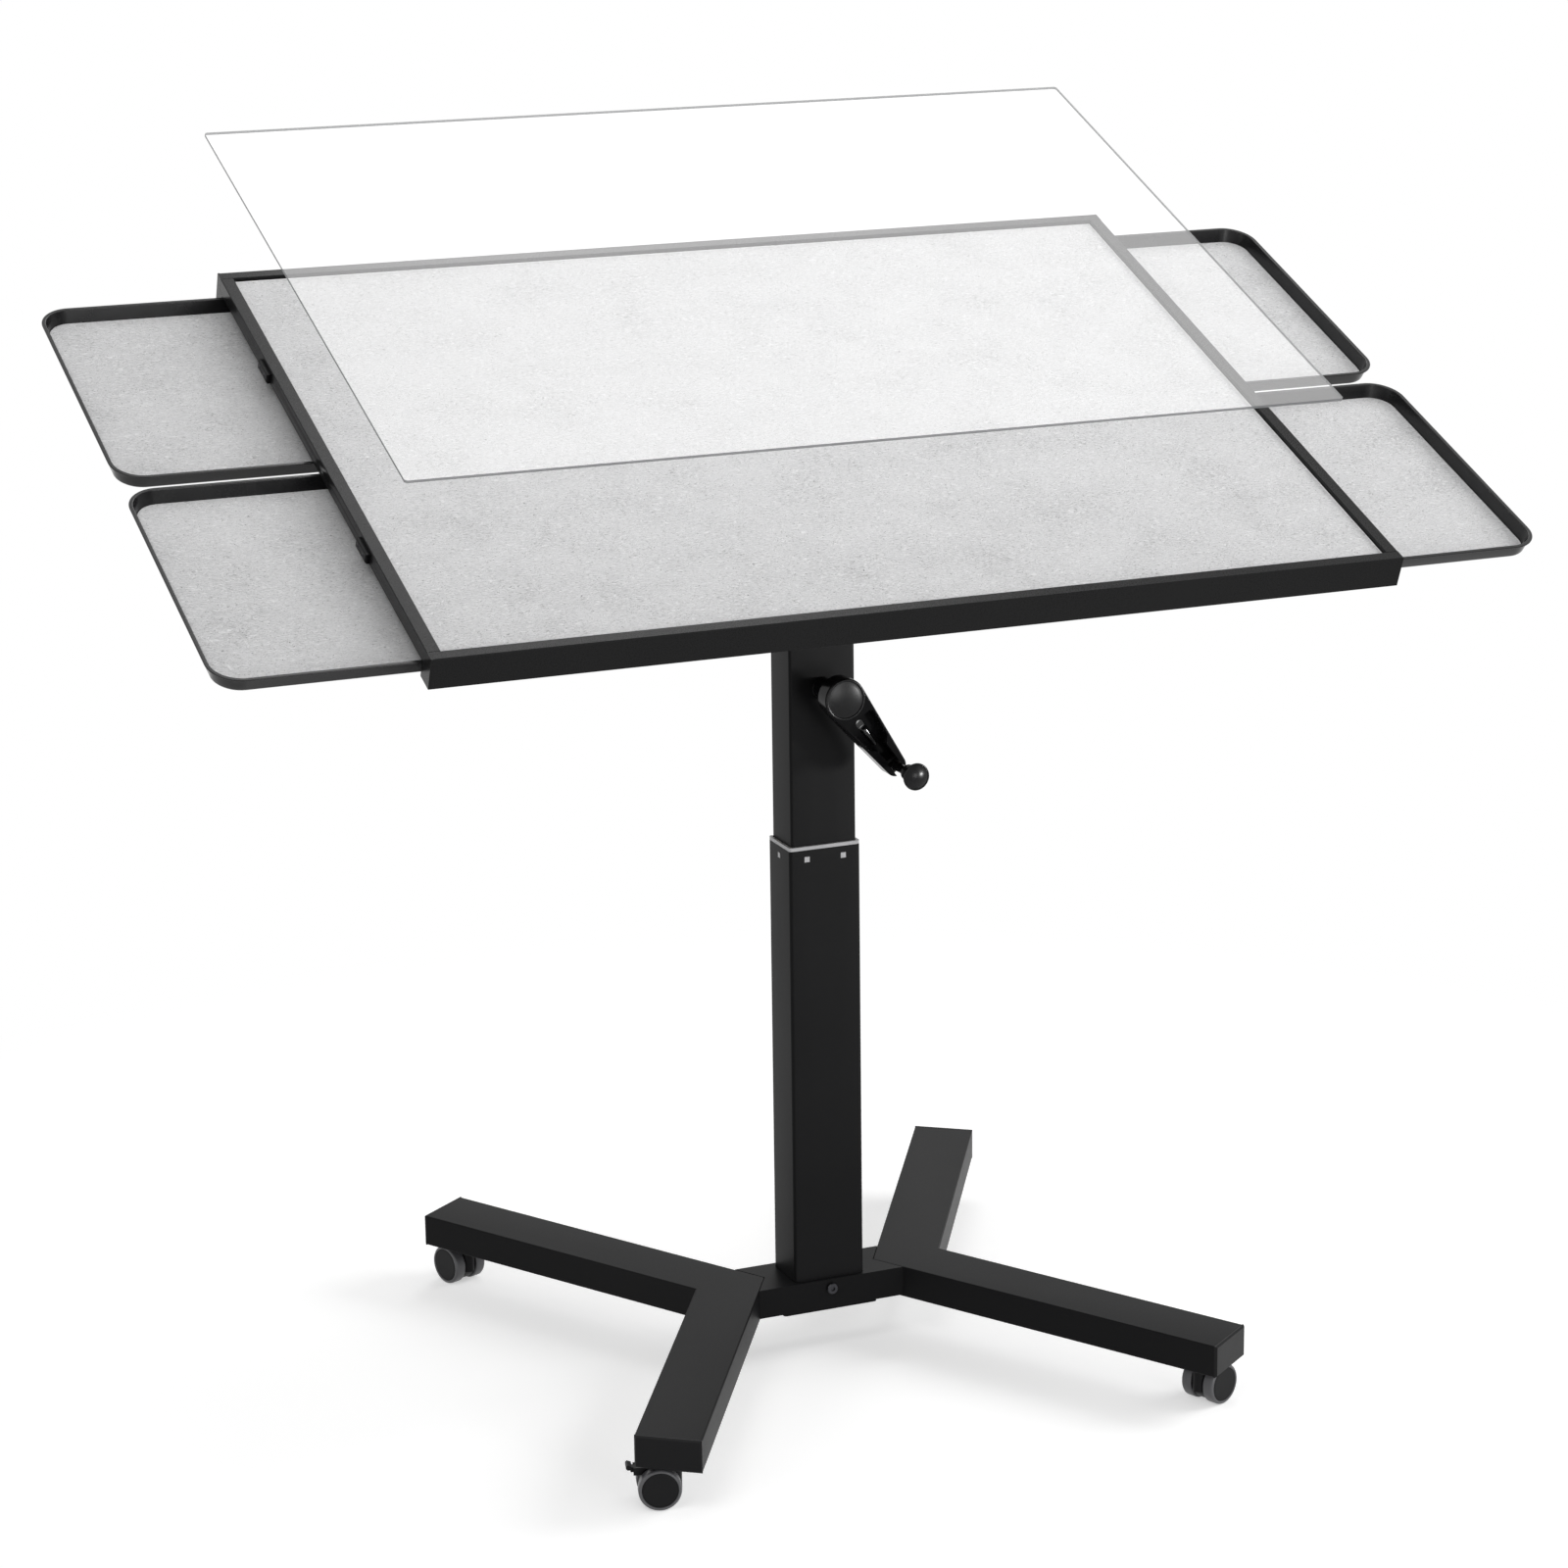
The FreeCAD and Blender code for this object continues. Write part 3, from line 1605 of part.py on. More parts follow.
end_cap = new_body("rail_end_cap_seed")
prism(end_cap, YZ, rail_half, half_width, rail_profile(-1))
prism(end_cap, YZ, rail_half - end_plug, rail_half, chamber(-1, plug_play, True))
prism(end_cap, YZ, rail_half - end_plug, rail_half, chamber(-1, plug_play, False))
keep(on_board(four_ways(end_cap, "rail_end_caps")), "rail_end_caps")

side_half = half_depth - rail_top
right_rail = new_body("right_rail")
inner_x = half_width - side_rail_wide
side_bar = prism(
    right_rail,
    XZ,
    -side_half,
    side_half,
    polygon(
        [
            (half_width, 0),
            (inner_x, 0),
            (inner_x, -ledge_drop),
            (inner_x - side_ledge, -ledge_drop),
            (inner_x - side_ledge, -side_rail_tall),
            (half_width, -side_rail_tall),
        ]
    ),
)


def side_top(middle, edge):
    return abs(middle.z) < 0.01 and edge.Length > number(side_half)


bevel_edges(right_rail, side_bar, rail_chamfer, side_top)
notch_end = half_depth - rail_foot - fit_gap
for low, high in ((-side_half - 1, -notch_end), (notch_end, side_half + 1)):
    prism(
        right_rail,
        XZ,
        low,
        high,
        box_of(
            inner_x - side_ledge - 1, half_width + 1, -side_rail_tall - 1, -ledge_drop
        ),
        cut=True,
    )
panel_half = inner_x - fit_gap
panel_side = side_half - fit_gap
board_panel = new_body("board_panel")
prism(
    board_panel,
    XY,
    -ledge_drop,
    -panel_drop,
    box_of(-panel_half, panel_half, -panel_side, panel_side),
)
keep(on_board(board_panel), "board_panel")

felt_mat = new_body("felt_mat")
prism(
    felt_mat,
    XY,
    -felt_drop - felt_thick,
    -felt_drop,
    box_of(-panel_half, panel_half, -panel_side, panel_side),
)
keep(on_board(felt_mat), "felt_mat")

spine_reach = half_depth - rail_foot - fit_gap
flange_edge = spine_half + spine_flange
spine_inside = spine_half - spine_wall
flange_level = -ledge_drop - spine_wall
spine_channel = new_body("spine_channel")
prism(
    spine_channel,
    XZ,
    -spine_reach,
    spine_reach,
    polygon(
        [
            (-flange_edge, -ledge_drop),
            (-flange_edge, flange_level),
            (-spine_half, flange_level),
            (-spine_half, -spine_drop),
            (spine_half, -spine_drop),
            (spine_half, flange_level),
            (flange_edge, flange_level),
            (flange_edge, -ledge_drop),
            (spine_inside, -ledge_drop),
            (spine_inside, spine_wall - spine_drop),
            (-spine_inside, spine_wall - spine_drop),
            (-spine_inside, -ledge_drop),
        ]
    ),
)
prism(
    spine_channel,
    XY,
    -spine_drop - 1,
    spine_wall - spine_drop + 1,
    bracket_bores,
    cut=True,
)
keep(on_board(spine_channel), "spine_channel")

runner_end = inner_x - side_ledge - fit_gap
runner = new_body("runner_seed")
prism(
    runner,
    YZ,
    flange_edge + fit_gap,
    runner_end,
    polygon(
        [
            (-runner_flange, -ledge_drop),
            (-runner_flange, groove_top),
            (-runner_neck, groove_top),
            (-runner_neck, groove_bottom),
            (-runner_flange, groove_bottom),
            (-runner_flange, -runner_drop),
            (runner_flange, -runner_drop),
            (runner_flange, groove_bottom),
            (runner_neck, groove_bottom),
            (runner_neck, groove_top),
            (runner_flange, groove_top),
            (runner_flange, -ledge_drop),
        ]
    ),
)
runner_left = mirrored(runner, "runner_left", ACROSS_X)
keep(on_board(gathered("centre_runners", [runner, runner_left])), "centre_runners")

# ---------------------------------------------------------------- trays


tray_outer_edge = half_depth - rail_foot + groove_depth - tray_play
tray_inner_edge = runner_neck + tray_play
tray_width = tray_outer_edge - tray_inner_edge
tray_offset = (tray_outer_edge + tray_inner_edge) / 2


def make_tray(label, x, v):
    tray = new_body(label)
    half_x = tray_length / 2
    half_y = tray_width / 2
    levels = []
    for level, inset in ((Size("0", 0), tray_lip), (-tray_tall, tray_lip + tray_draft)):
        sketch = new_sketch(tray, XY, level)
        rounded(half_x - inset, half_y - inset, tray_round - inset)(sketch)
        sketch.Visibility = False
        levels.append(sketch)
    outside = tray.newObject("PartDesign::AdditiveLoft", "Outside")
    outside.Profile = levels[0]
    outside.Sections = [levels[1]]
    outside.Ruled = True

    def floor_edge(middle, edge):
        return abs(middle.z + number(tray_tall)) < 0.01

    bevel_edges(tray, outside, tray_floor_bevel, floor_edge)
    prism(tray, XY, -tray_lip_thick, Size("0", 0), rounded(half_x, half_y, tray_round))
    levels = []
    floor = tray_wall - tray_tall
    shrink = tray_lip + tray_wall
    for level, inset in ((Size("0", 0), shrink), (floor, shrink + tray_draft)):
        sketch = new_sketch(tray, XY, level)
        rounded(half_x - inset, half_y - inset, tray_round - inset)(sketch)
        sketch.Visibility = False
        levels.append(sketch)
    inside = tray.newObject("PartDesign::SubtractiveLoft", "Inside")
    inside.Profile = levels[0]
    inside.Sections = [levels[1]]
    inside.Ruled = True
    keep(on_board(tray, x, v, -tray_drop), label)

    liner = new_body(label + "_liner")
    inset = tray_lip + tray_wall + tray_draft + 0.3
    prism(
        liner,
        XY,
        floor,
        floor + liner_thick,
        rounded(half_x - inset, half_y - inset, tray_round - inset),
    )
    keep(on_board(liner, x, v, -tray_drop), label + "_liner")


tray_home = half_width - tray_length / 2
make_tray("tray_right_front", tray_home + right_draw, -tray_offset)
make_tray("tray_right_back", tray_home + right_draw, tray_offset)
make_tray("tray_left_front", -tray_home - left_draw, -tray_offset)
make_tray("tray_left_back", -tray_home - left_draw, tray_offset)

# ---------------------------------------------------------------- catches and cover

half_catch = catch_long / 2
catch_back = tray_offset + catch_back_shift
catch_front = tray_offset - catch_front_shift
screw_holes = []
for place in (catch_back, -catch_front):
    for sign in (-1, 1):
        hole_at = place + catch_screw_spread * sign
        screw_holes.append(circle(hole_at, -catch_drop - catch_tall / 2, catch_screw_radius))
prism(
    right_rail,
    YZ,
    half_width - catch_screw_deep,
    half_width + 1,
    both(*screw_holes),
    cut=True,
)
right_node = gathered("right_rail_node", [right_rail])
keep(on_board(right_node), "right_rail")
left_rail = mirrored(right_rail, "left_rail_seed", ACROSS_X)
keep(on_board(gathered("left_rail_node", [left_rail])), "left_rail")

catch = new_body("catch_seed")
catch_feature = prism(
    catch,
    YZ,
    half_width,
    half_width + catch_proud,
    box_of(-half_catch, half_catch, -catch_drop - catch_tall, -catch_drop),
)


def catch_rim(middle, edge):
    return abs(middle.x - number(half_width + catch_proud)) < 0.01


bevel_edges(catch, catch_feature, catch_edge, catch_rim)
catch_level = -catch_drop - catch_tall / 2
prism(
    catch,
    YZ,
    half_width - 1,
    half_width + catch_proud + 1,
    both(
        circle(catch_screw_spread, catch_level, catch_screw_radius),
        circle(-catch_screw_spread, catch_level, catch_screw_radius),
    ),
    cut=True,
)
catch_screw = new_body("catch_screw_seed")
lathe(
    catch_screw,
    XZ,
    "V_Axis",
    polygon(
        [
            (0, catch_proud + catch_screw_deep),
            (catch_screw_radius, catch_proud + catch_screw_deep),
            (catch_screw_radius, 0),
            (catch_head, 0),
            (0, -1.0),
        ]
    ),
)
catch_screw.Placement = FreeCAD.Placement(VECTOR(0, 0, 0), FreeCAD.Rotation(VECTOR(0, 1, 0), -90))
bind(catch_screw, ".Placement.Base.x", half_width + catch_proud)
bind(catch_screw, ".Placement.Base.z", -catch_drop - catch_tall / 2)
screw_pair = []
for sign in (-1, 1):
    screw = gathered("catch_screw_%s" % ("low" if sign < 0 else "high"), [catch_screw])
    bind(screw, ".Placement.Base.y", catch_screw_spread * sign)
    screw_pair.append(screw)
catch_pair = gathered("catch_screw_pair", screw_pair)
places = []
screw_places = []
for name, place in (("back", catch_back), ("front", -catch_front)):
    right = gathered("catch_%s_right" % name, [catch])
    bind(right, ".Placement.Base.y", place)
    left = mirrored(right, "catch_%s_left" % name, ACROSS_X)
    places.extend([right, left])
    right = gathered("screws_%s_right" % name, [catch_pair])
    bind(right, ".Placement.Base.y", place)
    left = mirrored(right, "screws_%s_left" % name, ACROSS_X)
    screw_places.extend([right, left])
keep(on_board(gathered("drawer_catches", places)), "drawer_catches")
keep(on_board(gathered("catch_screws", screw_places)), "catch_screws")

cover_width = board_width - (side_rail_wide + cover_side_play) * 2
cover_depth = board_depth - (rail_top + cover_end_play) * 2
clear_cover = new_body("clear_cover")
prism(
    clear_cover,
    XY,
    -cover_thick / 2,
    cover_thick / 2,
    rounded(cover_width / 2, cover_depth / 2, cover_round),
)
keep(on_board(clear_cover, -cover_side, cover_back, cover_rise), "clear_cover")

# ---------------------------------------------------------------- casters

web_half = wheel_space / 2 - wheel_wide / 2 - web_gap
lever_x = caster_trail + lever_reach


def make_housing(label, braked):
    """The body between two wheels: a round web, its shoulder, the swivel boss and stem."""
    housing = new_body(label)
    prism(housing, XZ, -web_half, web_half, circle(caster_trail, wheel_radius, web_radius))
    top = caster_height - swivel_gap
    prism(housing, XY, wheel_radius - swivel_boss_drop, top, circle(0, 0, swivel_boss))
    shoulder = top - web_top_gap
    reach = lever_x - lever_barrel - lug_overlap
    low = wheel_radius + web_shoulder
    prism(housing, XZ, -web_half, web_half, box_of(0, reach, low, shoulder))
    prism(housing, XY, top - 1, caster_stem_top, circle(0, 0, caster_stem))
    if braked:
        lug_inside = lever_half + lug_play
        low = lever_up - lug_height
        high = lever_up + lug_height
        for near, far in ((-web_half, -lug_inside), (lug_inside, web_half)):
            section = box_of(reach - lug_overlap, lever_x + lever_barrel, low, high)
            prism(housing, XZ, near, far, section)
        pin = circle(lever_x, lever_up, lever_pin)
        prism(housing, XZ, -lug_inside - 1, lug_inside + 1, pin)
    bore = circle(caster_trail, wheel_radius, axle_radius + running_play)
    prism(housing, XZ, -web_half - 1, web_half + 1, bore, cut=True)
    return housing


wheel = new_body("wheel_seed")
wheel_near = (wheel_space - wheel_wide) / 2
wheel_far = (wheel_space + wheel_wide) / 2
axle_half = wheel_far - hub_disc_sunk - hub_disc_thick
lathe(
    wheel,
    YZ,
    "H_Axis",
    polygon(
        [
            (wheel_near, axle_radius + running_play),
            (wheel_near, wheel_radius),
            (wheel_far - wheel_round, wheel_radius),
            (wheel_far, wheel_radius - wheel_round),
            (wheel_far, hub_disc_radius),
            (wheel_far - hub_disc_sunk, hub_disc_radius),
            (wheel_far - hub_disc_sunk, 0),
            (axle_half, 0),
            (axle_half, axle_radius + running_play),
        ]
    ),
)
axle = new_body("axle_seed")
prism(axle, XZ, -axle_half, axle_half, circle(0, 0, axle_radius))
wheel_back = mirrored(wheel, "wheel_back_seed", ACROSS_Y)
wheel_set = gathered("wheel_set_seed", [wheel, wheel_back, axle])


def make_lever(label):
    """The brake's pedal: a barrel on its pin, a neck and a pad beyond the lugs."""
    lever = new_body(label)
    tip = lever_x + lever_long
    pad_top = lever_up + lever_pad_top
    pad_low = pad_top - lever_pad_thick
    pad_near = lever_x + lever_pad
    neck = box_of(lever_x, pad_near + 1, lever_up - lever_barrel / 2, lever_up + lever_barrel)
    prism(lever, XZ, -lever_half, lever_half, circle(lever_x, lever_up, lever_barrel))
    prism(lever, XZ, -lever_half, lever_half, neck)
    pad = polygon(
        [
            (pad_near, pad_low),
            (tip - lever_pad_round, pad_low),
            (tip, pad_low + lever_pad_round),
            (tip, pad_top - lever_pad_round),
            (tip - lever_pad_round, pad_top),
            (pad_near, pad_top - lever_pad_round),
        ]
    )
    prism(lever, XZ, -lever_pad_half, lever_pad_half, pad)
    bore = circle(lever_x, lever_up, lever_pin + running_play)
    prism(lever, XZ, -lever_half - 1, lever_half + 1, bore, cut=True)
    return lever


def on_leg(item, side_x, side_y, axis, angle):
    item.Placement = FreeCAD.Placement(VECTOR(0, 0, 0), FreeCAD.Rotation(axis, angle))
    bind(item, ".Placement.Base.x", stem_at[0] * side_x)
    bind(item, ".Placement.Base.y", stem_at[1] * side_y)
    return item


UP = VECTOR(0, 0, 1)
corners = (
    ("left_front", -1, -1, UP, 163.5, True),
    ("right_front", 1, -1, UP, 23.2, True),
    ("left_back", -1, 1, UP, 109.8, False),
    ("right_back", 1, 1, UP, 150, False),
)
for corner, side_x, side_y, axis, angle, braked in corners:
    label = "caster_housing_" + corner
    housing = make_housing(label, braked)
    keep(on_leg(housing, side_x, side_y, axis, angle), label)
    label = "caster_wheels_" + corner
    centred = gathered(label + "_centred", [wheel_set])
    bind(centred, ".Placement.Base.x", caster_trail)
    bind(centred, ".Placement.Base.z", wheel_radius)
    wheels = gathered(label, [centred])
    keep(on_leg(wheels, side_x, side_y, axis, angle), label)
    if braked:
        label = "brake_lever_" + corner
        keep(on_leg(make_lever(label), side_x, side_y, axis, angle), label)

# ---------------------------------------------------------------- checks and export

doc.recompute()
faults = []
for item in doc.Objects:
    if "Invalid" in item.State or "Error" in item.State:
        faults.append("%s (%s)" % (item.Label, ", ".join(item.State)))
for label, item in nodes:
    if item.Shape.isNull() or not item.Shape.isValid() or not item.Shape.Solids:
        faults.append("%s has no valid solid" % label)
if faults:
    raise RuntimeError("; ".join(faults))

os.makedirs("parts", exist_ok=True)
for label, item in nodes:
    item.Shape.exportStep("parts/%s.step" % label)
    box = item.Shape.BoundBox
    size = (box.XMin, box.XMax, box.YMin, box.YMax, box.ZMin, box.ZMax)
    print("%-28s %2d" % (label, len(item.Shape.Solids)), "%8.1f" * 6 % size)
print(len(nodes), "nodes")
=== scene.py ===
import json
import math

import bmesh
import bpy
from mathutils import Matrix, Vector

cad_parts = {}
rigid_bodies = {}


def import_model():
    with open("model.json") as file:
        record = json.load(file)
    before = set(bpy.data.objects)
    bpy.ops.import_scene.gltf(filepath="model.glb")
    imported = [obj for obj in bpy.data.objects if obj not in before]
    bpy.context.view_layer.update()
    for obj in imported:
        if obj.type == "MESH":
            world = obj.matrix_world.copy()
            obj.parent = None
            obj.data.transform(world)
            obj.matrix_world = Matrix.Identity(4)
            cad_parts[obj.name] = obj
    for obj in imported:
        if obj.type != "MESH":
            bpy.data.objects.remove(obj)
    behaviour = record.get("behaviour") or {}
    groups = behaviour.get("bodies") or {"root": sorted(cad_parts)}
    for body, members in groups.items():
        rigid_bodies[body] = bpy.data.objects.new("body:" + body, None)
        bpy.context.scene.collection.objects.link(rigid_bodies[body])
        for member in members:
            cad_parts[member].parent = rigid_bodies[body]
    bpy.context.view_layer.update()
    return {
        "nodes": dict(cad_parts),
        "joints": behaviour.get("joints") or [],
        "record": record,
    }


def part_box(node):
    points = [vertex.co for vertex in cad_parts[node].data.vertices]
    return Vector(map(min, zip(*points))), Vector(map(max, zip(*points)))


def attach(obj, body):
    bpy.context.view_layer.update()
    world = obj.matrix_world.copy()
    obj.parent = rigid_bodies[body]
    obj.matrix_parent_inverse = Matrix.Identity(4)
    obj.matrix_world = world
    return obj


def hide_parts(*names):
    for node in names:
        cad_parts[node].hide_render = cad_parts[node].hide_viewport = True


bl_info = {
    "name": "Tilting puzzle table",
    "version": (1, 0, 0),
    "blender": (4, 5, 0),
    "location": "View3D > Sidebar > Puzzle table",
    "description": "Dresses a tilting puzzle table with drawers and a crank column",
    "category": "Object",
}

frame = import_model()
NODES = frame["nodes"]
CORNERS = ("left_front", "left_back", "right_front", "right_back")
MM = 0.001
WELD = 0.00001  # corners nearer than this become one
FLAT = math.radians(0.6)  # faces that bend less than this become one
SHARP = 30.0  # degrees from which an edge is sharp, and is rounded off
WHITE = (1, 1, 1, 1)

# ---------------------------------------------------------------- settings


def colour(name, hint, tone):
    return bpy.props.FloatVectorProperty(
        name=name, description=hint, default=tone, subtype="COLOR", min=0, max=1
    )


def length(name, hint, metres):
    return bpy.props.FloatProperty(
        name=name, description=hint, default=metres, unit="LENGTH", min=0
    )


class TableColours(bpy.types.PropertyGroup):
    """Colours of the table's finishes."""

    steel_coat: colour("Powder coat", "Coated steel", (0.0062, 0.0062, 0.0066))
    rail_coat: colour("Rail coat", "Rails of the board", (0.006, 0.006, 0.0062))
    felt_light: colour("Felt, light", "Light fibres of the felt", (0.68, 0.68, 0.685))
    felt_dark: colour("Felt, dark", "Dark fibres of the felt", (0.40, 0.40, 0.405))
    moulded: colour("Moulded plastic", "Trays and caps", (0.008, 0.008, 0.0085))
    crank_gloss: colour("Crank", "The glossy crank", (0.005, 0.005, 0.0055))
    sleeve: colour("Column sleeve", "The pale sleeve of the column", (0.50, 0.50, 0.51))
    tread: colour("Wheel tread", "Treads of the casters", (0.085, 0.085, 0.09))
    fibreboard: colour("Fibreboard", "Underside of the board", (0.20, 0.15, 0.10))


class TableSizes(bpy.types.PropertyGroup):
    """Sizes of the finer shapes."""

    steel_edge: length("Steel edge", "Rounding of the coated steel's edges", 0.0008)
    rail_edge: length("Rail edge", "Rounding of the rails' edges", 0.0007)
    plastic_edge: length("Plastic edge", "Rounding of moulded edges", 0.0007)
    socket_depth: length("Socket depth", "Depth of the screws' hexagon sockets", 0.0018)
    ridge_radius: length("Crank ridge", "Half width of the ridge in its recess", 0.0042)
    felt_edge: length("Felt edge", "Half thickness of the felt's cut edge", 0.0006)
    thread_depth: length("Thread depth", "Depth of the lifting screw's thread", 0.0012)
    thread_pitch: length("Thread pitch", "Rise of one turn of the lifting screw", 0.005)


# ---------------------------------------------------------------- shader building


class Signal:
    """An output socket that takes part in sums."""

    def __init__(self, maker, socket):
        self.maker = maker
        self.socket = socket

    def math(self, operation, other, swapped=False):
        first, second = (other, self) if swapped else (self, other)
        inputs = {0: first, 1: second}
        return self.maker.node("ShaderNodeMath", {"operation": operation}, inputs)

    def __add__(self, other):
        return self.math("ADD", other)

    __radd__ = __add__

    def __mul__(self, other):
        return self.math("MULTIPLY", other)

    __rmul__ = __mul__

    def __sub__(self, other):
        return self.math("SUBTRACT", other)

    def __rsub__(self, other):
        return self.math("SUBTRACT", other, swapped=True)


class Finish:
    """A node material, or a world, under construction."""

    def __init__(self, name, kind="materials"):
        self.owner = getattr(bpy.data, kind).new(name)
        self.owner.use_nodes = True
        self.tree = self.owner.node_tree
        self.tree.nodes.clear()

    def node(self, kind, settings=None, inputs=None, output=0):
        item = self.tree.nodes.new(kind)
        for key, value in (settings or {}).items():
            if key == "stops":
                ramp = item.color_ramp
                while len(ramp.elements) > len(value):
                    ramp.elements.remove(ramp.elements[-1])
                for index, (place, tone) in enumerate(value):
                    if index >= len(ramp.elements):
                        ramp.elements.new(place)
                    ramp.elements[index].position = place
                    ramp.elements[index].color = (tone, tone, tone, 1)
            else:
                setattr(item, key, value)
        for key, value in (inputs or {}).items():
            self.feed(item.inputs[key], value)
        return Signal(self, item.outputs[output])

    def feed(self, socket, value):
        if isinstance(value, Signal):
            self.tree.links.new(value.socket, socket)
        else:
            socket.default_value = value

    def place(self, stretch=(1, 1, 1), turn=(0, 0, 0)):
        """The surface's own coordinates, in metres, stretched and turned."""
        source = self.node("ShaderNodeTexCoord", output="Object")
        inputs = {"Vector": source, "Scale": stretch, "Rotation": turn}
        return self.node("ShaderNodeMapping", {}, inputs)

    def vector(self, operation, inputs, output=0):
        settings = {"operation": operation}
        return self.node("ShaderNodeVectorMath", settings, inputs, output)

    def noise(self, where, scale, detail=2.0, roughness=0.5):
        inputs = {"Vector": where, "Scale": scale}
        inputs.update({"Detail": detail, "Roughness": roughness})
        return self.node("ShaderNodeTexNoise", {}, inputs)

    def ramp(self, factor, stops):
        return self.node("ShaderNodeValToRGB", {"stops": stops}, {"Fac": factor})

    def mix(self, factor, first, second):
        inputs = {0: factor, 6: first, 7: second}
        return self.node("ShaderNodeMix", {"data_type": "RGBA"}, inputs, output=2)

    def bump(self, height, distance, strength):
        inputs = {"Height": height, "Distance": distance, "Strength": strength}
        return self.node("ShaderNodeBump", {}, inputs)

    def watched(self):
        """Where a camera ray, a mirrored ray or one through a clear sheet arrives."""
        seen = self.node("ShaderNodeLightPath", output="Is Camera Ray")
        for ray in ("Is Transmission Ray", "Is Glossy Ray"):
            seen = seen.math("MAXIMUM", self.node("ShaderNodeLightPath", output=ray))
        return seen

    def surface(self, colour, roughness, specular=0.5, **more):
        """Close the material with a principled surface and give it back."""
        inputs = {"Base Color": colour, "Roughness": roughness}
        inputs["Specular IOR Level"] = specular
        inputs.update({name.replace("_", " "): value for name, value in more.items()})
        return self.output(self.node("ShaderNodeBsdfPrincipled", {}, inputs))

    def output(self, shader, kind="ShaderNodeOutputMaterial"):
        item = self.tree.nodes.new(kind)
        self.tree.links.new(shader.socket, item.inputs["Surface"])
        return self.owner


def rgba(tone, strength=1.0):
    return (tone[0] * strength, tone[1] * strength, tone[2] * strength, 1.0)


def coated(name, tone, roughness, grain, specular=0.5):
    """Fine-grained powder coat: slight clouding and a dusting of raised grains."""
    make = Finish(name)
    where = make.place()
    cloud = make.noise(where, 9.0, 2.0)
    fine = make.noise(where, 1500.0, 1.0)
    base = make.mix(cloud, rgba(tone, 0.82), rgba(tone, 1.22))
    rough = cloud * 0.06 + fine * 0.10 + (roughness - 0.08)
    return make.surface(base, rough, specular, Normal=make.bump(fine, grain, 0.5))


def moulded(name, tone, roughness, grain=0.00002, specular=0.5):
    """Moulded plastic with a faint orange-peel skin and handling marks."""
    make = Finish(name)
    where = make.place()
    peel = make.noise(where, 620.0, 2.0)
    rubbed = make.noise(where, 34.0, 4.0, 0.6)
    base = make.mix(rubbed, rgba(tone, 0.86), rgba(tone, 1.2))
    rough = rubbed * 0.12 + peel * 0.06 + (roughness - 0.09)
    return make.surface(base, rough, specular, Normal=make.bump(peel, grain, 0.4))


def felted(name, light, dark, turn):
    """Needle felt: pale and clouded, with short curled darker fibres across it."""
    make = Finish(name)
    flat = make.place(turn=turn)
    cloud = make.noise(flat, 16.0, 4.0, 0.6)
    bent = make.node("ShaderNodeTexNoise", {}, {"Vector": flat, "Scale": 90.0}, "Color")
    across = make.vector("SCALE", {0: bent, "Scale": 0.010})
    swirl = make.vector("ADD", {0: flat, 1: across})
    long = make.vector("MULTIPLY", {0: swirl, 1: (1.0, 3.2, 1.0)})
    curl = make.noise(long, 230.0, 3.0, 0.6)
    strand = make.noise(long, 520.0, 2.0, 0.6)
    fine = make.noise(flat, 1500.0, 2.0, 0.6)
    shade = curl * 0.45 + strand * 0.3 + cloud * 0.25
    level = make.ramp(shade, [(0.36, 0.0), (0.45, 0.72), (0.58, 1.0)])
    base = make.mix(level, rgba(dark), rgba(light))
    threads = make.ramp(strand, [(0.31, 1.0), (0.36, 0.0)])
    base = make.mix(threads * 0.9, base, rgba(dark, 0.22))
    pale = make.ramp(curl, [(0.58, 0.0), (0.66, 1.0)])
    base = make.mix(pale * 0.8, base, rgba(light, 1.16))
    height = curl * 0.6 + strand * 0.5 + fine * 0.25
    bumps = make.bump(height, 0.0011, 0.9)
    sheen = {"Sheen_Weight": 0.15, "Sheen_Roughness": 0.6}
    return make.surface(base, 0.95, 0.1, Normal=bumps, **sheen)


def turned(name, tone, roughness, stretch):
    """Machined metal with fine tool marks."""
    make = Finish(name)
    marks = make.noise(make.place(stretch), 900.0, 3.0, 0.6)
    stain = make.noise(make.place(), 40.0, 3.0, 0.6)
    base = make.mix(stain, rgba(tone, 0.82), rgba(tone, 1.08))
    rough = marks * 0.18 + (roughness - 0.09)
    bumps = make.bump(marks, 0.00001, 0.4)
    return make.surface(base, rough, Metallic=1.0, Normal=bumps)


def boarded(name, tone):
    """Sealed fibreboard: short chips in two directions."""
    make = Finish(name)
    chips = make.noise(make.place((1.0, 3.0, 1.0)), 260.0, 4.0, 0.7)
    base = make.mix(chips, rgba(tone, 0.6), rgba(tone, 1.35))
    return make.surface(base, 0.7, Normal=make.bump(chips, 0.0001, 0.4))


def clear(name, tint, alpha, painted_glow, roughness):
    """Clear sheet: a pale veil over what is behind it, brightened by a painted glow: it
    emits its own tint whatever the light.
    """
    make = Finish(name)
    haze = make.noise(make.place(), 2.2, 2.0)
    return make.surface(
        make.mix(haze, rgba(tint, 0.97), rgba(tint)),
        roughness,
        0.05,
        Alpha=haze * 0.02 + (alpha - 0.01),
        # painted glow: the sheet emits its tint and lights itself with no lamp
        Emission_Color=rgba(tint),
        Emission_Strength=painted_glow,
    )


MATERIALS = {}


# ---------------------------------------------------------------- mesh helpers


def new_piece(name, mesh, *materials):
    piece = bpy.data.objects.new(name, mesh)
    bpy.context.scene.collection.objects.link(piece)
    for material in materials:
        mesh.materials.append(MATERIALS[material])
    return piece


def paint(material, *nodes):
    for node in nodes:
        mesh = NODES[node].data
        mesh.materials.clear()
        mesh.materials.append(MATERIALS[material])


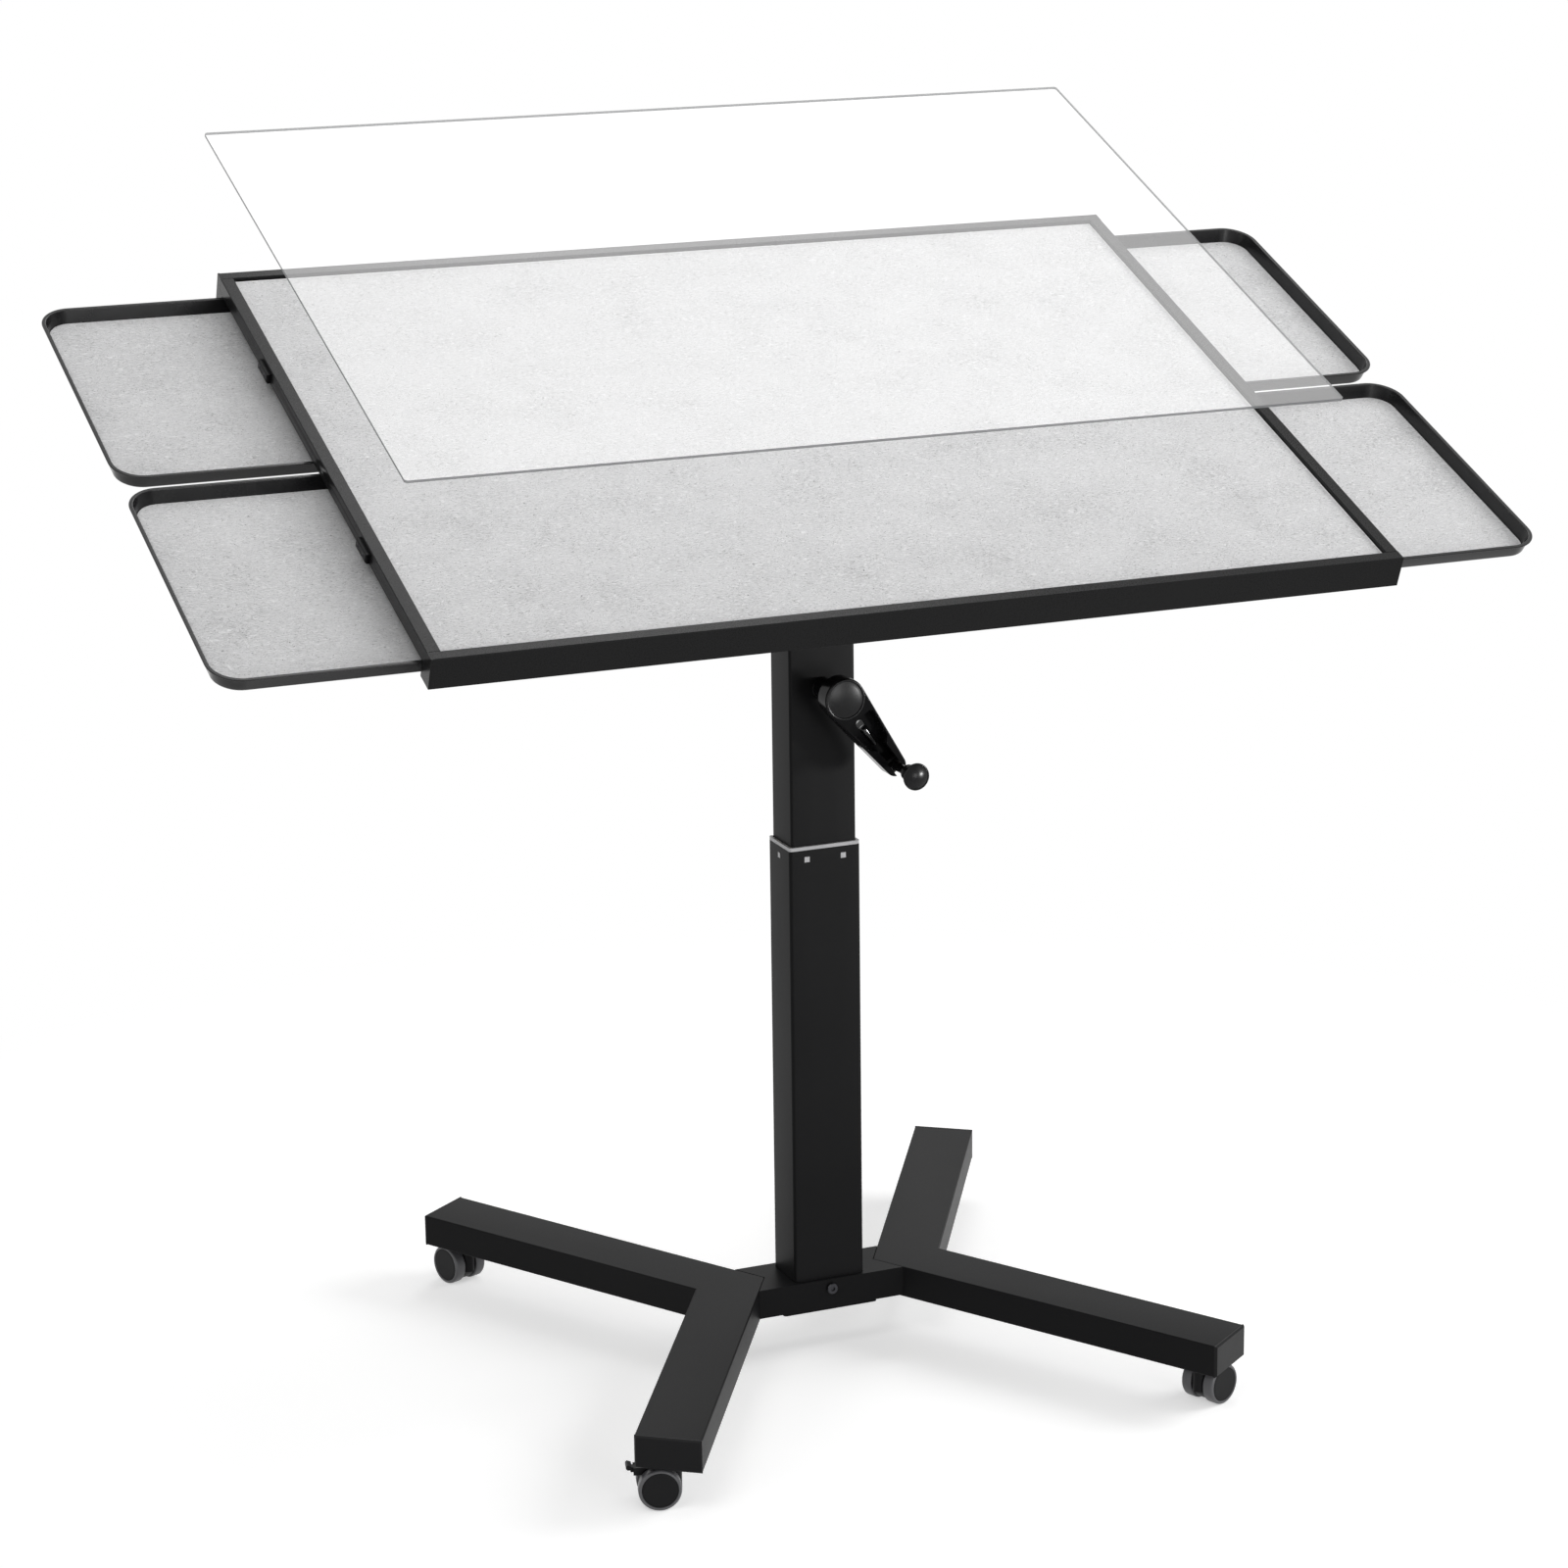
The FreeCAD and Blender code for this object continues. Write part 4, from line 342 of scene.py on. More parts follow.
def hand_over(piece, body, slot, *nodes):
    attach(piece, body)
    if nodes:
        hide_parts(*nodes)


def smooth(mesh, angle):
    for face in mesh.polygons:
        face.use_smooth = True
    mesh.set_sharp_from_angle(angle=math.radians(angle))


def welded(node, flattened=True):
    """A CAD node as a working mesh, with shared corners and whole flat faces."""
    bm = bmesh.new()
    bm.from_mesh(NODES[node].data)
    bmesh.ops.remove_doubles(bm, verts=bm.verts, dist=WELD)
    if flattened:
        bmesh.ops.dissolve_limit(bm, angle_limit=FLAT, verts=bm.verts, edges=bm.edges)
    return bm


def kept(name, bm):
    """Close a working mesh and keep it under a name."""
    mesh = bpy.data.meshes.new(name)
    bm.to_mesh(mesh)
    bm.free()
    return mesh


def soften(name, node, body, slot, width, material, segments=2):
    """Put a copy of a CAD node with whole faces and rounded edges in its place."""
    mesh = kept(name, welded(node))
    piece = new_piece(name, mesh, material)
    smooth(mesh, SHARP)
    bevel = piece.modifiers.new("Edge", "BEVEL")
    bevel.width = width
    bevel.segments = segments
    bevel.limit_method = "ANGLE"
    bevel.angle_limit = math.radians(SHARP)
    bevel.harden_normals = True
    bevel.use_clamp_overlap = True
    hand_over(piece, body, slot, node)


def lathed(name, profile, place, steps):
    """A surface turned about an axis; its profile's rows are (along, radius) in mm."""
    bm = bmesh.new()
    rings = []
    for along, radius in profile:
        ring = []
        for k in range(steps if radius > 0 else 1):
            turn = math.tau * k / steps
            spot = place(along, radius * math.cos(turn), radius * math.sin(turn))
            ring.append(bm.verts.new(spot))
        rings.append(ring)
    for near, far in zip(rings, rings[1:]):
        for k in range(steps):
            after = (k + 1) % steps
            if len(near) == 1:
                bm.faces.new((near[0], far[after], far[k]))
            elif len(far) == 1:
                bm.faces.new((near[k], near[after], far[0]))
            else:
                bm.faces.new((near[k], near[after], far[after], far[k]))
    bmesh.ops.recalc_face_normals(bm, faces=bm.faces)
    return kept(name, bm)


def middle_of(node):
    low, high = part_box(node)
    return (Vector(low) + Vector(high)) / 2


def rounded_corner(x, y, radius, start, stop, steps=5):
    """Points of a small arc in a turned profile, angles in degrees."""
    points = []
    for k in range(steps + 1):
        turn = math.radians(start + (stop - start) * k / steps)
        points.append((x + radius * math.cos(turn), y + radius * math.sin(turn)))
    return points


def joined_mesh(name, meshes, slots=(0, 0)):
    """One mesh out of several, each with the material slot given for it."""
    bm = bmesh.new()
    for mesh, slot in zip(meshes, slots):
        before = len(bm.faces)
        bm.from_mesh(mesh)
        bm.faces.ensure_lookup_table()
        for face in bm.faces[before:]:
            face.material_index = slot
    return kept(name, bm)


def node_centres(node):
    """The middle and the corners of each separate solid of a CAD node."""
    bm = welded(node, flattened=False)
    seen = set()
    middles = []
    for start in bm.verts:
        if start.index in seen:
            continue
        group = []
        stack = [start]
        seen.add(start.index)
        while stack:
            vertex = stack.pop()
            group.append(vertex.co.copy())
            for edge in vertex.link_edges:
                other = edge.other_vert(vertex)
                if other.index not in seen:
                    seen.add(other.index)
                    stack.append(other)
        low = Vector([min(point[k] for point in group) for k in range(3)])
        high = Vector([max(point[k] for point in group) for k in range(3)])
        middles.append(((low + high) / 2, low, high))
    bm.free()
    return middles


class NodeTree:
    """A geometry node tree under construction."""

    def __init__(self, name):
        self.tree = bpy.data.node_groups.new(name, "GeometryNodeTree")
        for way in ("INPUT", "OUTPUT"):
            self.tree.interface.new_socket(
                name="Geometry", in_out=way, socket_type="NodeSocketGeometry"
            )
        self.entry = self.tree.nodes.new("NodeGroupInput")
        self.exit = self.tree.nodes.new("NodeGroupOutput")
        self.names = {}

    def wants(self, name, kind, default):
        """Add a named input and give back its socket."""
        item = self.tree.interface.new_socket(
            name=name, in_out="INPUT", socket_type="NodeSocket" + kind
        )
        if default is not None:
            item.default_value = default
        self.names[name] = item.identifier
        return self.entry.outputs[name]

    def node(self, kind, settings=None, inputs=None, output=0):
        item = self.tree.nodes.new(kind)
        for key, value in (settings or {}).items():
            setattr(item, key, value)
        for key, value in (inputs or {}).items():
            if isinstance(value, bpy.types.NodeSocket):
                self.tree.links.new(value, item.inputs[key])
            else:
                item.inputs[key].default_value = value
        return item.outputs[output]

    def math(self, operation, first, second):
        inputs = {0: first, 1: second}
        return self.node("ShaderNodeMath", {"operation": operation}, inputs)

    def scaled(self, value, factor):
        return self.math("MULTIPLY", value, factor)

    def raised(self, piece, level):
        lift = self.node("ShaderNodeCombineXYZ", {}, {"Z": level})
        inputs = {"Geometry": piece, "Translation": lift}
        return self.node("GeometryNodeTransform", {}, inputs)

    def cylinder(self, sides, radius, depth):
        inputs = {"Vertices": sides, "Radius": radius, "Depth": depth}
        return self.node("GeometryNodeMeshCylinder", {}, inputs)

    def on_points(self, piece, **inputs):
        """A copy of a piece on each point that comes in."""
        inputs.update({"Points": self.entry.outputs[0], "Instance": piece})
        return self.node("GeometryNodeInstanceOnPoints", {}, inputs)

    def finish(self, geometry, material):
        real = self.node("GeometryNodeRealizeInstances", {}, {0: geometry})
        inputs = {0: real, "Material": material}
        painted = self.node("GeometryNodeSetMaterial", {}, inputs)
        self.tree.links.new(painted, self.exit.inputs[0])

    def apply(self, piece, **values):
        """Run the tree on a piece, with its inputs set by identifier, and bake it."""
        modifier = piece.modifiers.new("Build", "NODES")
        modifier.node_group = self.tree
        for name, value in values.items():
            modifier[self.names[name.replace("_", " ")]] = value
        return baked(piece)


CHAMFER_TOP = 0.9  # share of a screw head's radius that the chamfer leaves
CHAMFER_TALL = 0.2  # share of its height that the chamfer takes
SHANK_SIDES = 32
SHANK_LAP = 0.4 * MM  # how far a shank reaches into its head
THREAD_STEPS = 28  # in one turn
EDGING_SIDES = 8


def screw_tree():
    """Whole screws with hexagon sockets, one on each point, turned to its heading."""
    build = NodeTree("screws")
    radius = build.wants("head radius", "Float", 0.005)
    height = build.wants("head height", "Float", 0.003)
    sides = build.wants("head sides", "Int", 48)
    socket = build.wants("socket radius", "Float", 0.0022)
    depth = build.wants("socket depth", "Float", 0.0018)
    shank = build.wants("shank radius", "Float", 0.003)
    length = build.wants("shank length", "Float", 0.016)
    finish = build.wants("finish", "Material", None)
    settings, inputs = {"data_type": "FLOAT_VECTOR"}, {"Name": "heading"}
    heading = build.node("GeometryNodeInputNamedAttribute", settings, inputs)
    inputs = {"Vertices": sides, "Radius Bottom": radius}
    inputs["Radius Top"] = build.scaled(radius, CHAMFER_TOP)
    inputs["Depth"] = build.scaled(height, CHAMFER_TALL)
    head = build.node("GeometryNodeMeshCone", {}, inputs)
    head = build.raised(head, build.scaled(height, 1 - CHAMFER_TALL))
    wall = build.cylinder(sides, radius, build.scaled(height, 1 - CHAMFER_TALL))
    wall = build.raised(wall, build.scaled(height, (1 - CHAMFER_TALL) / 2))
    settings = {"operation": "UNION", "solver": "EXACT"}
    solid = build.node("GeometryNodeMeshBoolean", settings, {1: wall})
    build.tree.links.new(head, solid.node.inputs[1])
    hexagon = build.raised(build.cylinder(6, socket, build.scaled(depth, 2.0)), height)
    settings = {"operation": "DIFFERENCE", "solver": "EXACT"}
    head = build.node("GeometryNodeMeshBoolean", settings, {0: solid, 1: hexagon})
    stem = build.cylinder(SHANK_SIDES, shank, length)
    seat = build.math("ADD", build.scaled(length, -0.5), SHANK_LAP)
    whole = build.node("GeometryNodeJoinGeometry", {}, {0: head})
    build.tree.links.new(build.raised(stem, seat), whole.node.inputs[0])
    inputs = {"Vector": heading}
    turn = build.node("FunctionNodeAlignRotationToVector", {"axis": "Z"}, inputs)
    build.finish(build.on_points(whole, Rotation=turn), finish)
    return build


def thread_tree():
    """A square thread wound round a shaft, one on each point, rising from it."""
    build = NodeTree("thread")
    radius = build.wants("thread radius", "Float", 0.0058)
    rib = build.wants("thread rib", "Float", 0.0024)
    turns = build.wants("turns", "Float", 60.0)
    rise = build.wants("rise", "Float", 0.3)
    left = build.wants("left handed", "Bool", False)
    finish = build.wants("finish", "Material", None)
    inputs = {"Resolution": THREAD_STEPS, "Rotations": turns, "Height": rise}
    inputs.update({"Start Radius": radius, "End Radius": radius, "Reverse": left})
    path = build.node("GeometryNodeCurveSpiral", {}, inputs)
    path = build.node("GeometryNodeSetCurveNormal", {"mode": "Z_UP"}, {"Curve": path})
    inputs = {"Width": rib, "Height": rib}
    square = build.node("GeometryNodeCurvePrimitiveQuadrilateral", {}, inputs)
    inputs = {"Curve": path, "Profile Curve": square, "Fill Caps": True}
    wound = build.node("GeometryNodeCurveToMesh", {}, inputs)
    build.finish(build.on_points(wound), finish)
    return build


def edging_tree():
    """A thin round edging that follows an outline."""
    build = NodeTree("edging")
    radius = build.wants("edging radius", "Float", 0.0006)
    finish = build.wants("finish", "Material", None)
    path = build.node("GeometryNodeMeshToCurve", {}, {0: build.entry.outputs[0]})
    inputs = {"Resolution": EDGING_SIDES, "Radius": radius}
    ring = build.node("GeometryNodeCurvePrimitiveCircle", {}, inputs)
    inputs = {"Curve": path, "Profile Curve": ring}
    build.finish(build.node("GeometryNodeCurveToMesh", {}, inputs), finish)
    return build


def outline_of(node, inset):
    """The outline of a flat node's upper face, drawn in by a little."""
    bm = welded(node)
    bm.normal_update()
    tops = [face for face in bm.faces if face.normal.dot(BOARD_UP) > 0.99]
    top = max(tops, key=lambda face: face.calc_area())
    points = [loop.vert.co.copy() for loop in top.loops]
    bm.free()
    nexts = points[1:] + points[:1]
    ways = [(after - here).normalized() for here, after in zip(points, nexts)]
    drawn = []
    for here, before, after in zip(points, ways[-1:] + ways[:-1], ways):
        inward = BOARD_UP.cross(before)
        other = BOARD_UP.cross(after)
        drawn.append(here + (inward + other) * (inset / (1 + inward.dot(other))))
    return drawn


def baked(piece):
    """Turn a piece with modifiers into a plain mesh."""
    bpy.context.view_layer.update()
    graph = bpy.context.evaluated_depsgraph_get()
    mesh = bpy.data.meshes.new_from_object(piece.evaluated_get(graph))
    piece.modifiers.clear()
    piece.data = mesh
    return piece


def board_directions():
    """The tilted board's directions to its back and up, from the surface's mount."""
    for mount in frame["record"]["mounts"]:
        if mount["name"] == "work_surface":
            up = Vector(mount["axis"]).normalized()
    back = up.cross(Vector((1, 0, 0))).normalized()
    return back, up


BOARD_BACK, BOARD_UP = board_directions()


class Setup:
    """Shared settings of the operators."""

    @staticmethod
    def sizes():
        return bpy.context.scene.puzzle_table_sizes

    @staticmethod
    def colours():
        return bpy.context.scene.puzzle_table_colours


def edge_felt(node, body, slot):
    """The cut edge round a sheet of felt: a real thin round cord, painted paler than
    the felt as a highlight.
    """
    radius = Setup.sizes().felt_edge
    points = outline_of(node, radius)
    name = node + "_edge"
    mesh = bpy.data.meshes.new(name)
    edges = [(k, (k + 1) % len(points)) for k in range(len(points))]
    mesh.from_pydata([tuple(point) for point in points], edges, [])
    piece = new_piece(name, mesh)
    # its paler felt is a painted highlight along the cut edge
    edging_tree().apply(piece, edging_radius=radius, finish=MATERIALS["felt edge"])
    smooth(piece.data, 60)
    hand_over(piece, body, slot)


class TABLE_OT_finishes(bpy.types.Operator):
    """Build the node materials of the whole table"""

    bl_idname = "puzzle_table.finishes"
    bl_label = "Make finishes"

    def execute(self, context):
        tones = Setup.colours()
        level = (-math.atan2(BOARD_BACK.z, BOARD_BACK.y), 0, 0)
        for name, make, *look in (
            ("steel coat", coated, tones.steel_coat, 0.42, 0.00003, 0.065),
            ("rail coat", coated, tones.rail_coat, 0.28, 0.00002, 0.12),
            ("felt", felted, tones.felt_light, tones.felt_dark, level),
            # a lighter copy of the felt: a painted highlight on the felt's cut edge
            ("felt edge", felted, [0.86] * 3, [0.66] * 3, level),
            ("moulded", moulded, tones.moulded, 0.36, 0.00002, 0.10),
            ("tray", moulded, tones.moulded, 0.22, 0.00001, 0.30),
            ("crank gloss", moulded, tones.crank_gloss, 0.15, 0.00001, 0.07),
            ("cap gloss", moulded, tones.moulded, 0.26, 0.00001, 0.16),
            ("ridge gloss", moulded, tones.crank_gloss, 0.16, 0.00001, 0.5),
            ("sleeve", moulded, tones.sleeve, 0.5),
            ("tread", moulded, tones.tread, 0.38, 0.00004),
            ("hub", moulded, tones.moulded, 0.40, 0.00002, 0.12),
            ("steel", turned, (0.56, 0.56, 0.57), 0.32, (1, 1, 6)),
            ("zinc", turned, (0.62, 0.62, 0.63), 0.35, (1, 1, 1)),
            ("black screw", turned, (0.05, 0.05, 0.055), 0.4, (1, 1, 1)),
            ("bronze", turned, (0.52, 0.35, 0.15), 0.35, (1, 1, 5)),
            ("cast", coated, (0.16, 0.16, 0.165), 0.55, 0.0001),
            ("fibreboard", boarded, tones.fibreboard),
            # the last value of the clear sheet and of its rim is a painted glow that
            # they emit
            ("clear sheet", clear, (0.95, 0.95, 0.95), 0.135, 0.38, 0.5),
            ("clear edge", clear, (0.22, 0.225, 0.23), 0.85, 0.0, 0.3),
        ):
            MATERIALS[name] = make(name, *look)
        return {"FINISHED"}


THIN_WALL = 0.6  # share of the steel's rounding on the thin tubes
THIN_CAP = 0.5  # share of the rails' rounding on their caps


class TABLE_OT_base(bpy.types.Operator):
    """Dress the legs, the crossbar and what closes them"""

    bl_idname = "puzzle_table.base"
    bl_label = "Base"

    def execute(self, context):
        edge = Setup.sizes().steel_edge
        for node in ("leg_left", "leg_right", "crossbar", "base_plate"):
            soften(node + "_coat", node, "base", "frame_paint", edge, "steel coat")
        names = "leg_caps_moulded", "leg_end_caps"
        soften(*names, "base", "black_plastic", edge, "moulded")
        paint("moulded", "caster_bushes")
        return {"FINISHED"}


class TABLE_OT_column(bpy.types.Operator):
    """Dress the telescopic column and the head that carries the board"""

    bl_idname = "puzzle_table.column"
    bl_label = "Column"

    def execute(self, context):
        edge = Setup.sizes().steel_edge * THIN_WALL
        for node, body in (
            ("outer_column", "base"),
            ("inner_column", "upper"),
            ("head_bracket", "upper"),
        ):
            soften(node + "_coat", node, body, "frame_paint", edge, "steel coat")
        paint("sleeve", "column_sleeve")
        paint("steel coat", "nut_post")
        paint("bronze", "lift_nut")
        paint("moulded", "lower_guide", "shaft_bush", "tilt_knob")
        paint("cast", "gearbox_housing")
        paint("steel", "driven_gear", "drive_gear")
        paint("zinc", "pivot_bolt")
        return {"FINISHED"}


class TABLE_OT_board(bpy.types.Operator):
    """Dress the board's rails, panel, felt and supports"""

    bl_idname = "puzzle_table.board"
    bl_label = "Board"

    def execute(self, context):
        edge = Setup.sizes().rail_edge
        for node in ("front_rail", "back_rail", "left_rail", "right_rail"):
            soften(node + "_coat", node, "top", "rail_paint", edge, "rail coat")
        names = "rail_caps_moulded", "rail_end_caps"
        soften(*names, "top", "black_plastic", edge * THIN_CAP, "rail coat")
        paint("fibreboard", "board_panel")
        paint("felt", "felt_mat")
        edge_felt("felt_mat", "top", "felt")
        paint("rail coat", "spine_channel", "centre_runners")
        paint("steel coat", "tilt_bracket")
        paint("moulded", "drawer_catches")
        return {"FINISHED"}


class TABLE_OT_trays(bpy.types.Operator):
    """Dress the four trays and their felt"""

    bl_idname = "puzzle_table.trays"
    bl_label = "Trays"

    def execute(self, context):
        edge = Setup.sizes().plastic_edge
        for corner in CORNERS:
            node = "tray_" + corner
            names = node + "_moulded", node
            soften(*names, "drawer_" + corner, "tray_plastic", edge, "tray", 3)
            paint("felt", node + "_liner")
        return {"FINISHED"}


class TABLE_OT_cover(bpy.types.Operator):
    """Dress the clear cover"""

    bl_idname = "puzzle_table.cover"
    bl_label = "Cover"

    def execute(self, context):
        mesh = NODES["clear_cover"].data
        paint("clear sheet", "clear_cover")
        mesh.materials.append(MATERIALS["clear edge"])
        NODES["clear_cover"].visible_shadow = False
        for face in mesh.polygons:
            if abs(face.normal.dot(BOARD_UP)) < 0.5:
                face.material_index = 1  # the rim
        return {"FINISHED"}


# The crank's recess, in millimetres; spans run from the hub's axis towards the tip.
RECESS_DEPTH = 16.5
RIDGE_SPAN = (30.6, 61.0)
RIDGE_LOW = 0.45
RIDGE_HIGH = 3.4
HEAD_END = 38.2  # the folded handle's wide head ends here
RIDGE_STEPS = 28
RIDGE_SIDES = 16
POST_SPAN = (23.9, 29.6)
POST_HEIGHT = 6.5
DOME_STEPS = 11
ARM_EDGE = 1.3  # share of the plastic's rounding on the arm


class TABLE_OT_crank(bpy.types.Operator):
    """Shape and dress the crank and its folding handle"""

    bl_idname = "puzzle_table.crank"
    bl_label = "Crank"

    def execute(self, context):
        axis = middle_of("hub_cap")
        tip = middle_of("crank_knob")
        down = tip - axis
        down.y = 0
        down.normalize()
        side = Vector((0, -1, 0)).cross(down)

        def at_hub(along, a, b):
            return Vector((axis.x, along * MM, axis.z)) + (down * a + side * b) * MM

        def at_tip(along, a, b):
            return Vector((tip.x, along * MM, tip.z)) + (down * a + side * b) * MM

        edge = Setup.sizes().plastic_edge * ARM_EDGE
        names = "crank_arm_gloss", "crank_arm"
        soften(*names, "crank", "frame_paint", edge, "crank gloss", 4)
        front = self.extents("crank_arm")[1]
        floor = front + RECESS_DEPTH
        ridge = self.ridge(at_hub, floor, *RIDGE_SPAN, self.ridge_height)
        post = self.ridge(at_hub, floor, *POST_SPAN, lambda along: POST_HEIGHT)
        mesh = joined_mesh("crank_arm_ridge", [ridge, post])
        smooth(mesh, 60)
        piece = new_piece("crank_arm_ridge", mesh, "ridge gloss")
        hand_over(piece, "crank", "frame_paint")
        for node, body, shape, place, steps in (
            ("hub_cap", "crank", self.cap_profile, at_hub, 72),
            ("crank_knob", "handle", self.knob_profile, at_tip, 64),
        ):
            mesh = lathed(node + "_gloss", shape(*self.extents(node)), place, steps)
            smooth(mesh, 50)
            piece = new_piece(node + "_gloss", mesh, "cap gloss")
            hand_over(piece, body, "black_plastic", node)
        paint("crank gloss", "knob_stem")
        paint("steel", "crank_shaft", "fold_pin")
        return {"FINISHED"}

    def extents(self, node):
        """A node's back and front on the crank's axis and its radius, in mm."""
        low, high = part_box(node)
        return high[1] / MM, low[1] / MM, (high[2] - low[2]) / 2 / MM

    def cap_profile(self, back, front, outer):
        """A shallow dome inside a raised rim, all of it proud of the arm."""
        proud = back - front
        rim = back - proud * 0.75
        bend = 0.6
        seam = 0.12
        rows = [(back + 0.3, outer)]
        for t in (0, 0.5, 1.0, 1.57):
            out = outer - bend + bend * math.cos(t)
            rows.append((rim + bend - bend * math.sin(t), out))
        rows += [(rim + 0.05, outer - 1.3), (rim + 0.35, outer - 1.7)]
        rows.append((back - seam, outer - 2.0))
        dome = outer - 2.4
        for k in range(DOME_STEPS):
            t = (k / DOME_STEPS) ** 0.8
            ahead = (proud - seam) * (1 - (1 - t) ** 2)
            rows.append((back - seam - ahead, dome * (1 - t)))
        return rows + [(front, 0.0)]

    def knob_profile(self, back, front, outer):
        """A waisted grip that flares into a domed head with a raised rim."""
        foot = 7.4
        waist = 6.6
        long = back - front
        start = back - 0.5
        rows = [(back, 3.2), (back, foot - 0.6), (back - 0.6, foot)]
        for k in range(1, 8):
            t = k / 7
            out = waist + (foot - waist) * (2 * t - 1) ** 2
            rows.append((start - (0.50 * long) * t, out))
        flare = outer - 0.2 - foot
        for t in (0.15, 0.3, 0.45, 0.6, 0.72, 0.84, 0.93, 1.0):
            rows.append((start - (0.50 + 0.24 * t) * long, foot + flare * t ** 2.2))
        rim = (4.6, 0.0), (3.7, 0.0), (3.2, 0.35), (3.1, 0.9), (3.5, 1.3)
        rows += [(front + behind, outer - inward) for behind, inward in rim]
        dome = outer - 1.6
        for k in range(DOME_STEPS):
            t = k / DOME_STEPS
            rows.append((front + 3.3 * (1 - t) ** 2, dome * (1 - t)))
        return rows + [(front, 0.0)]

    def ridge_height(self, along):
        """How high the ridge may stand: it stays under the folded handle."""
        return min(RIDGE_LOW + max(0.0, along - HEAD_END) * 0.9, RIDGE_HIGH)

    def ridge(self, place, floor, start, stop, height):
        """A rounded ridge that runs along the crank's recess."""
        radius = Setup.sizes().ridge_radius / MM
        bm = bmesh.new()
        rings = []
        for k in range(RIDGE_STEPS + 1):
            t = k / RIDGE_STEPS
            near = min(t, 1 - t) * (stop - start) / radius
            bulge = math.sqrt(max(0.0, 1 - (1 - min(near, 1.0)) ** 2))
            along = start + (stop - start) * t
            bulge = max(bulge, 0.03)
            wide = radius * (1.0 - 0.3 * t) * bulge
            tall = height(along) * bulge
            ring = []
            for j in range(RIDGE_SIDES + 1):
                turn = math.pi * j / RIDGE_SIDES
                crest = floor - tall * math.sin(turn) ** 0.8
                ring.append(bm.verts.new(place(crest, along, wide * math.cos(turn))))
            rings.append(ring)
        for near, far in zip(rings, rings[1:]):
            for j in range(RIDGE_SIDES):
                bm.faces.new((near[j], near[j + 1], far[j + 1], far[j]))
            bm.faces.new((near[-1], near[0], far[0], far[-1]))
        for ring in (rings[0], rings[-1]):
            bm.faces.new(ring)
        bmesh.ops.recalc_face_normals(bm, faces=bm.faces)
        return kept("ridge", bm)


# A wheel of a caster, in millimetres from the middle of the pair and from the axle.
WHEEL_BACK = 6.8
WHEEL_FRONT = 16.6
TREAD_INNER = 16.0
AXLE_RADIUS = 3.0
WHEEL_STEPS = 72


class TABLE_OT_casters(bpy.types.Operator):
    """Shape and dress the casters"""

    bl_idname = "puzzle_table.casters"
    bl_label = "Casters"

    def execute(self, context):
        for corner in CORNERS:
            self.shell("caster_housing_" + corner, "swivel_" + corner)
            self.wheels(corner)
            if "brake_lever_" + corner in NODES:
                self.shell("brake_lever_" + corner, "brake_" + corner)
        return {"FINISHED"}

    def shell(self, node, body):
        edge = Setup.sizes().plastic_edge
        soften(node + "_moulded", node, body, "black_plastic", edge, "moulded", 3)

    def axle_of(self, corner):
        """The axle's direction from its joint."""
        for joint in frame["joints"]:
            if joint["name"] == "roll_" + corner:
                return Vector(joint["axis"]).normalized()
        raise RuntimeError("no rolling joint for " + corner)

    def wheels(self, corner):
        axis = self.axle_of(corner)
        node = "caster_wheels_" + corner
        middle = middle_of(node)
        across = axis.cross(Vector((0, 0, 1))).normalized()
        above = across.cross(axis)
        treads = []
        hubs = []
        for sign in (1, -1):

            def place(along, a, b, sign=sign):
                return middle + (axis * (along * sign) + across * a + above * b) * MM

            treads.append(lathed("tread", self.tread_profile(), place, WHEEL_STEPS))
            hubs.append(lathed("hub", self.hub_profile(), place, WHEEL_STEPS))
        mesh = joined_mesh(node + "_turned", treads + hubs, (0, 0, 1, 1))
        smooth(mesh, 35)
        piece = new_piece(mesh.name, mesh, "tread", "hub")
        hand_over(piece, "wheels_" + corner, "wheel_plastic", node)

    def tread_profile(self):
        """The pale ring of tread, rounded on both shoulders."""
        rows = [(WHEEL_BACK, TREAD_INNER), (WHEEL_BACK, 17.6)]
        rows += rounded_corner(8.2, 17.6, 1.4, 180, 90)
        rows += rounded_corner(15.5, 16.6, 2.4, 90, 0, 8)
        return rows + [(17.8, 16.3), (17.5, 16.05), (WHEEL_FRONT, 15.9)]

    def hub_profile(self):
        """The flat dark disc inside the tread, with the axle's end behind it."""
        rows = [(0.0, AXLE_RADIUS), (WHEEL_BACK, AXLE_RADIUS)]
        rows += [(WHEEL_BACK, TREAD_INNER), (WHEEL_FRONT, TREAD_INNER)]
        return rows + [(17.05, 15.7), (17.2, 15.2), (17.15, 12.0), (17.1, 0.0)]


SOCKET_SHARE = 0.48  # a hexagon socket's radius as a share of the head's
SCREW_REACH = 0.015  # corners nearer than this to a screw's middle belong to it
THREAD_RUN_IN = 1.5 * MM  # from the shaft's collar to the thread
THREAD_RUN_OUT = 2 * MM
THREAD_SLOPE = 0.4 * MM  # where the shaft narrows to the thread's core


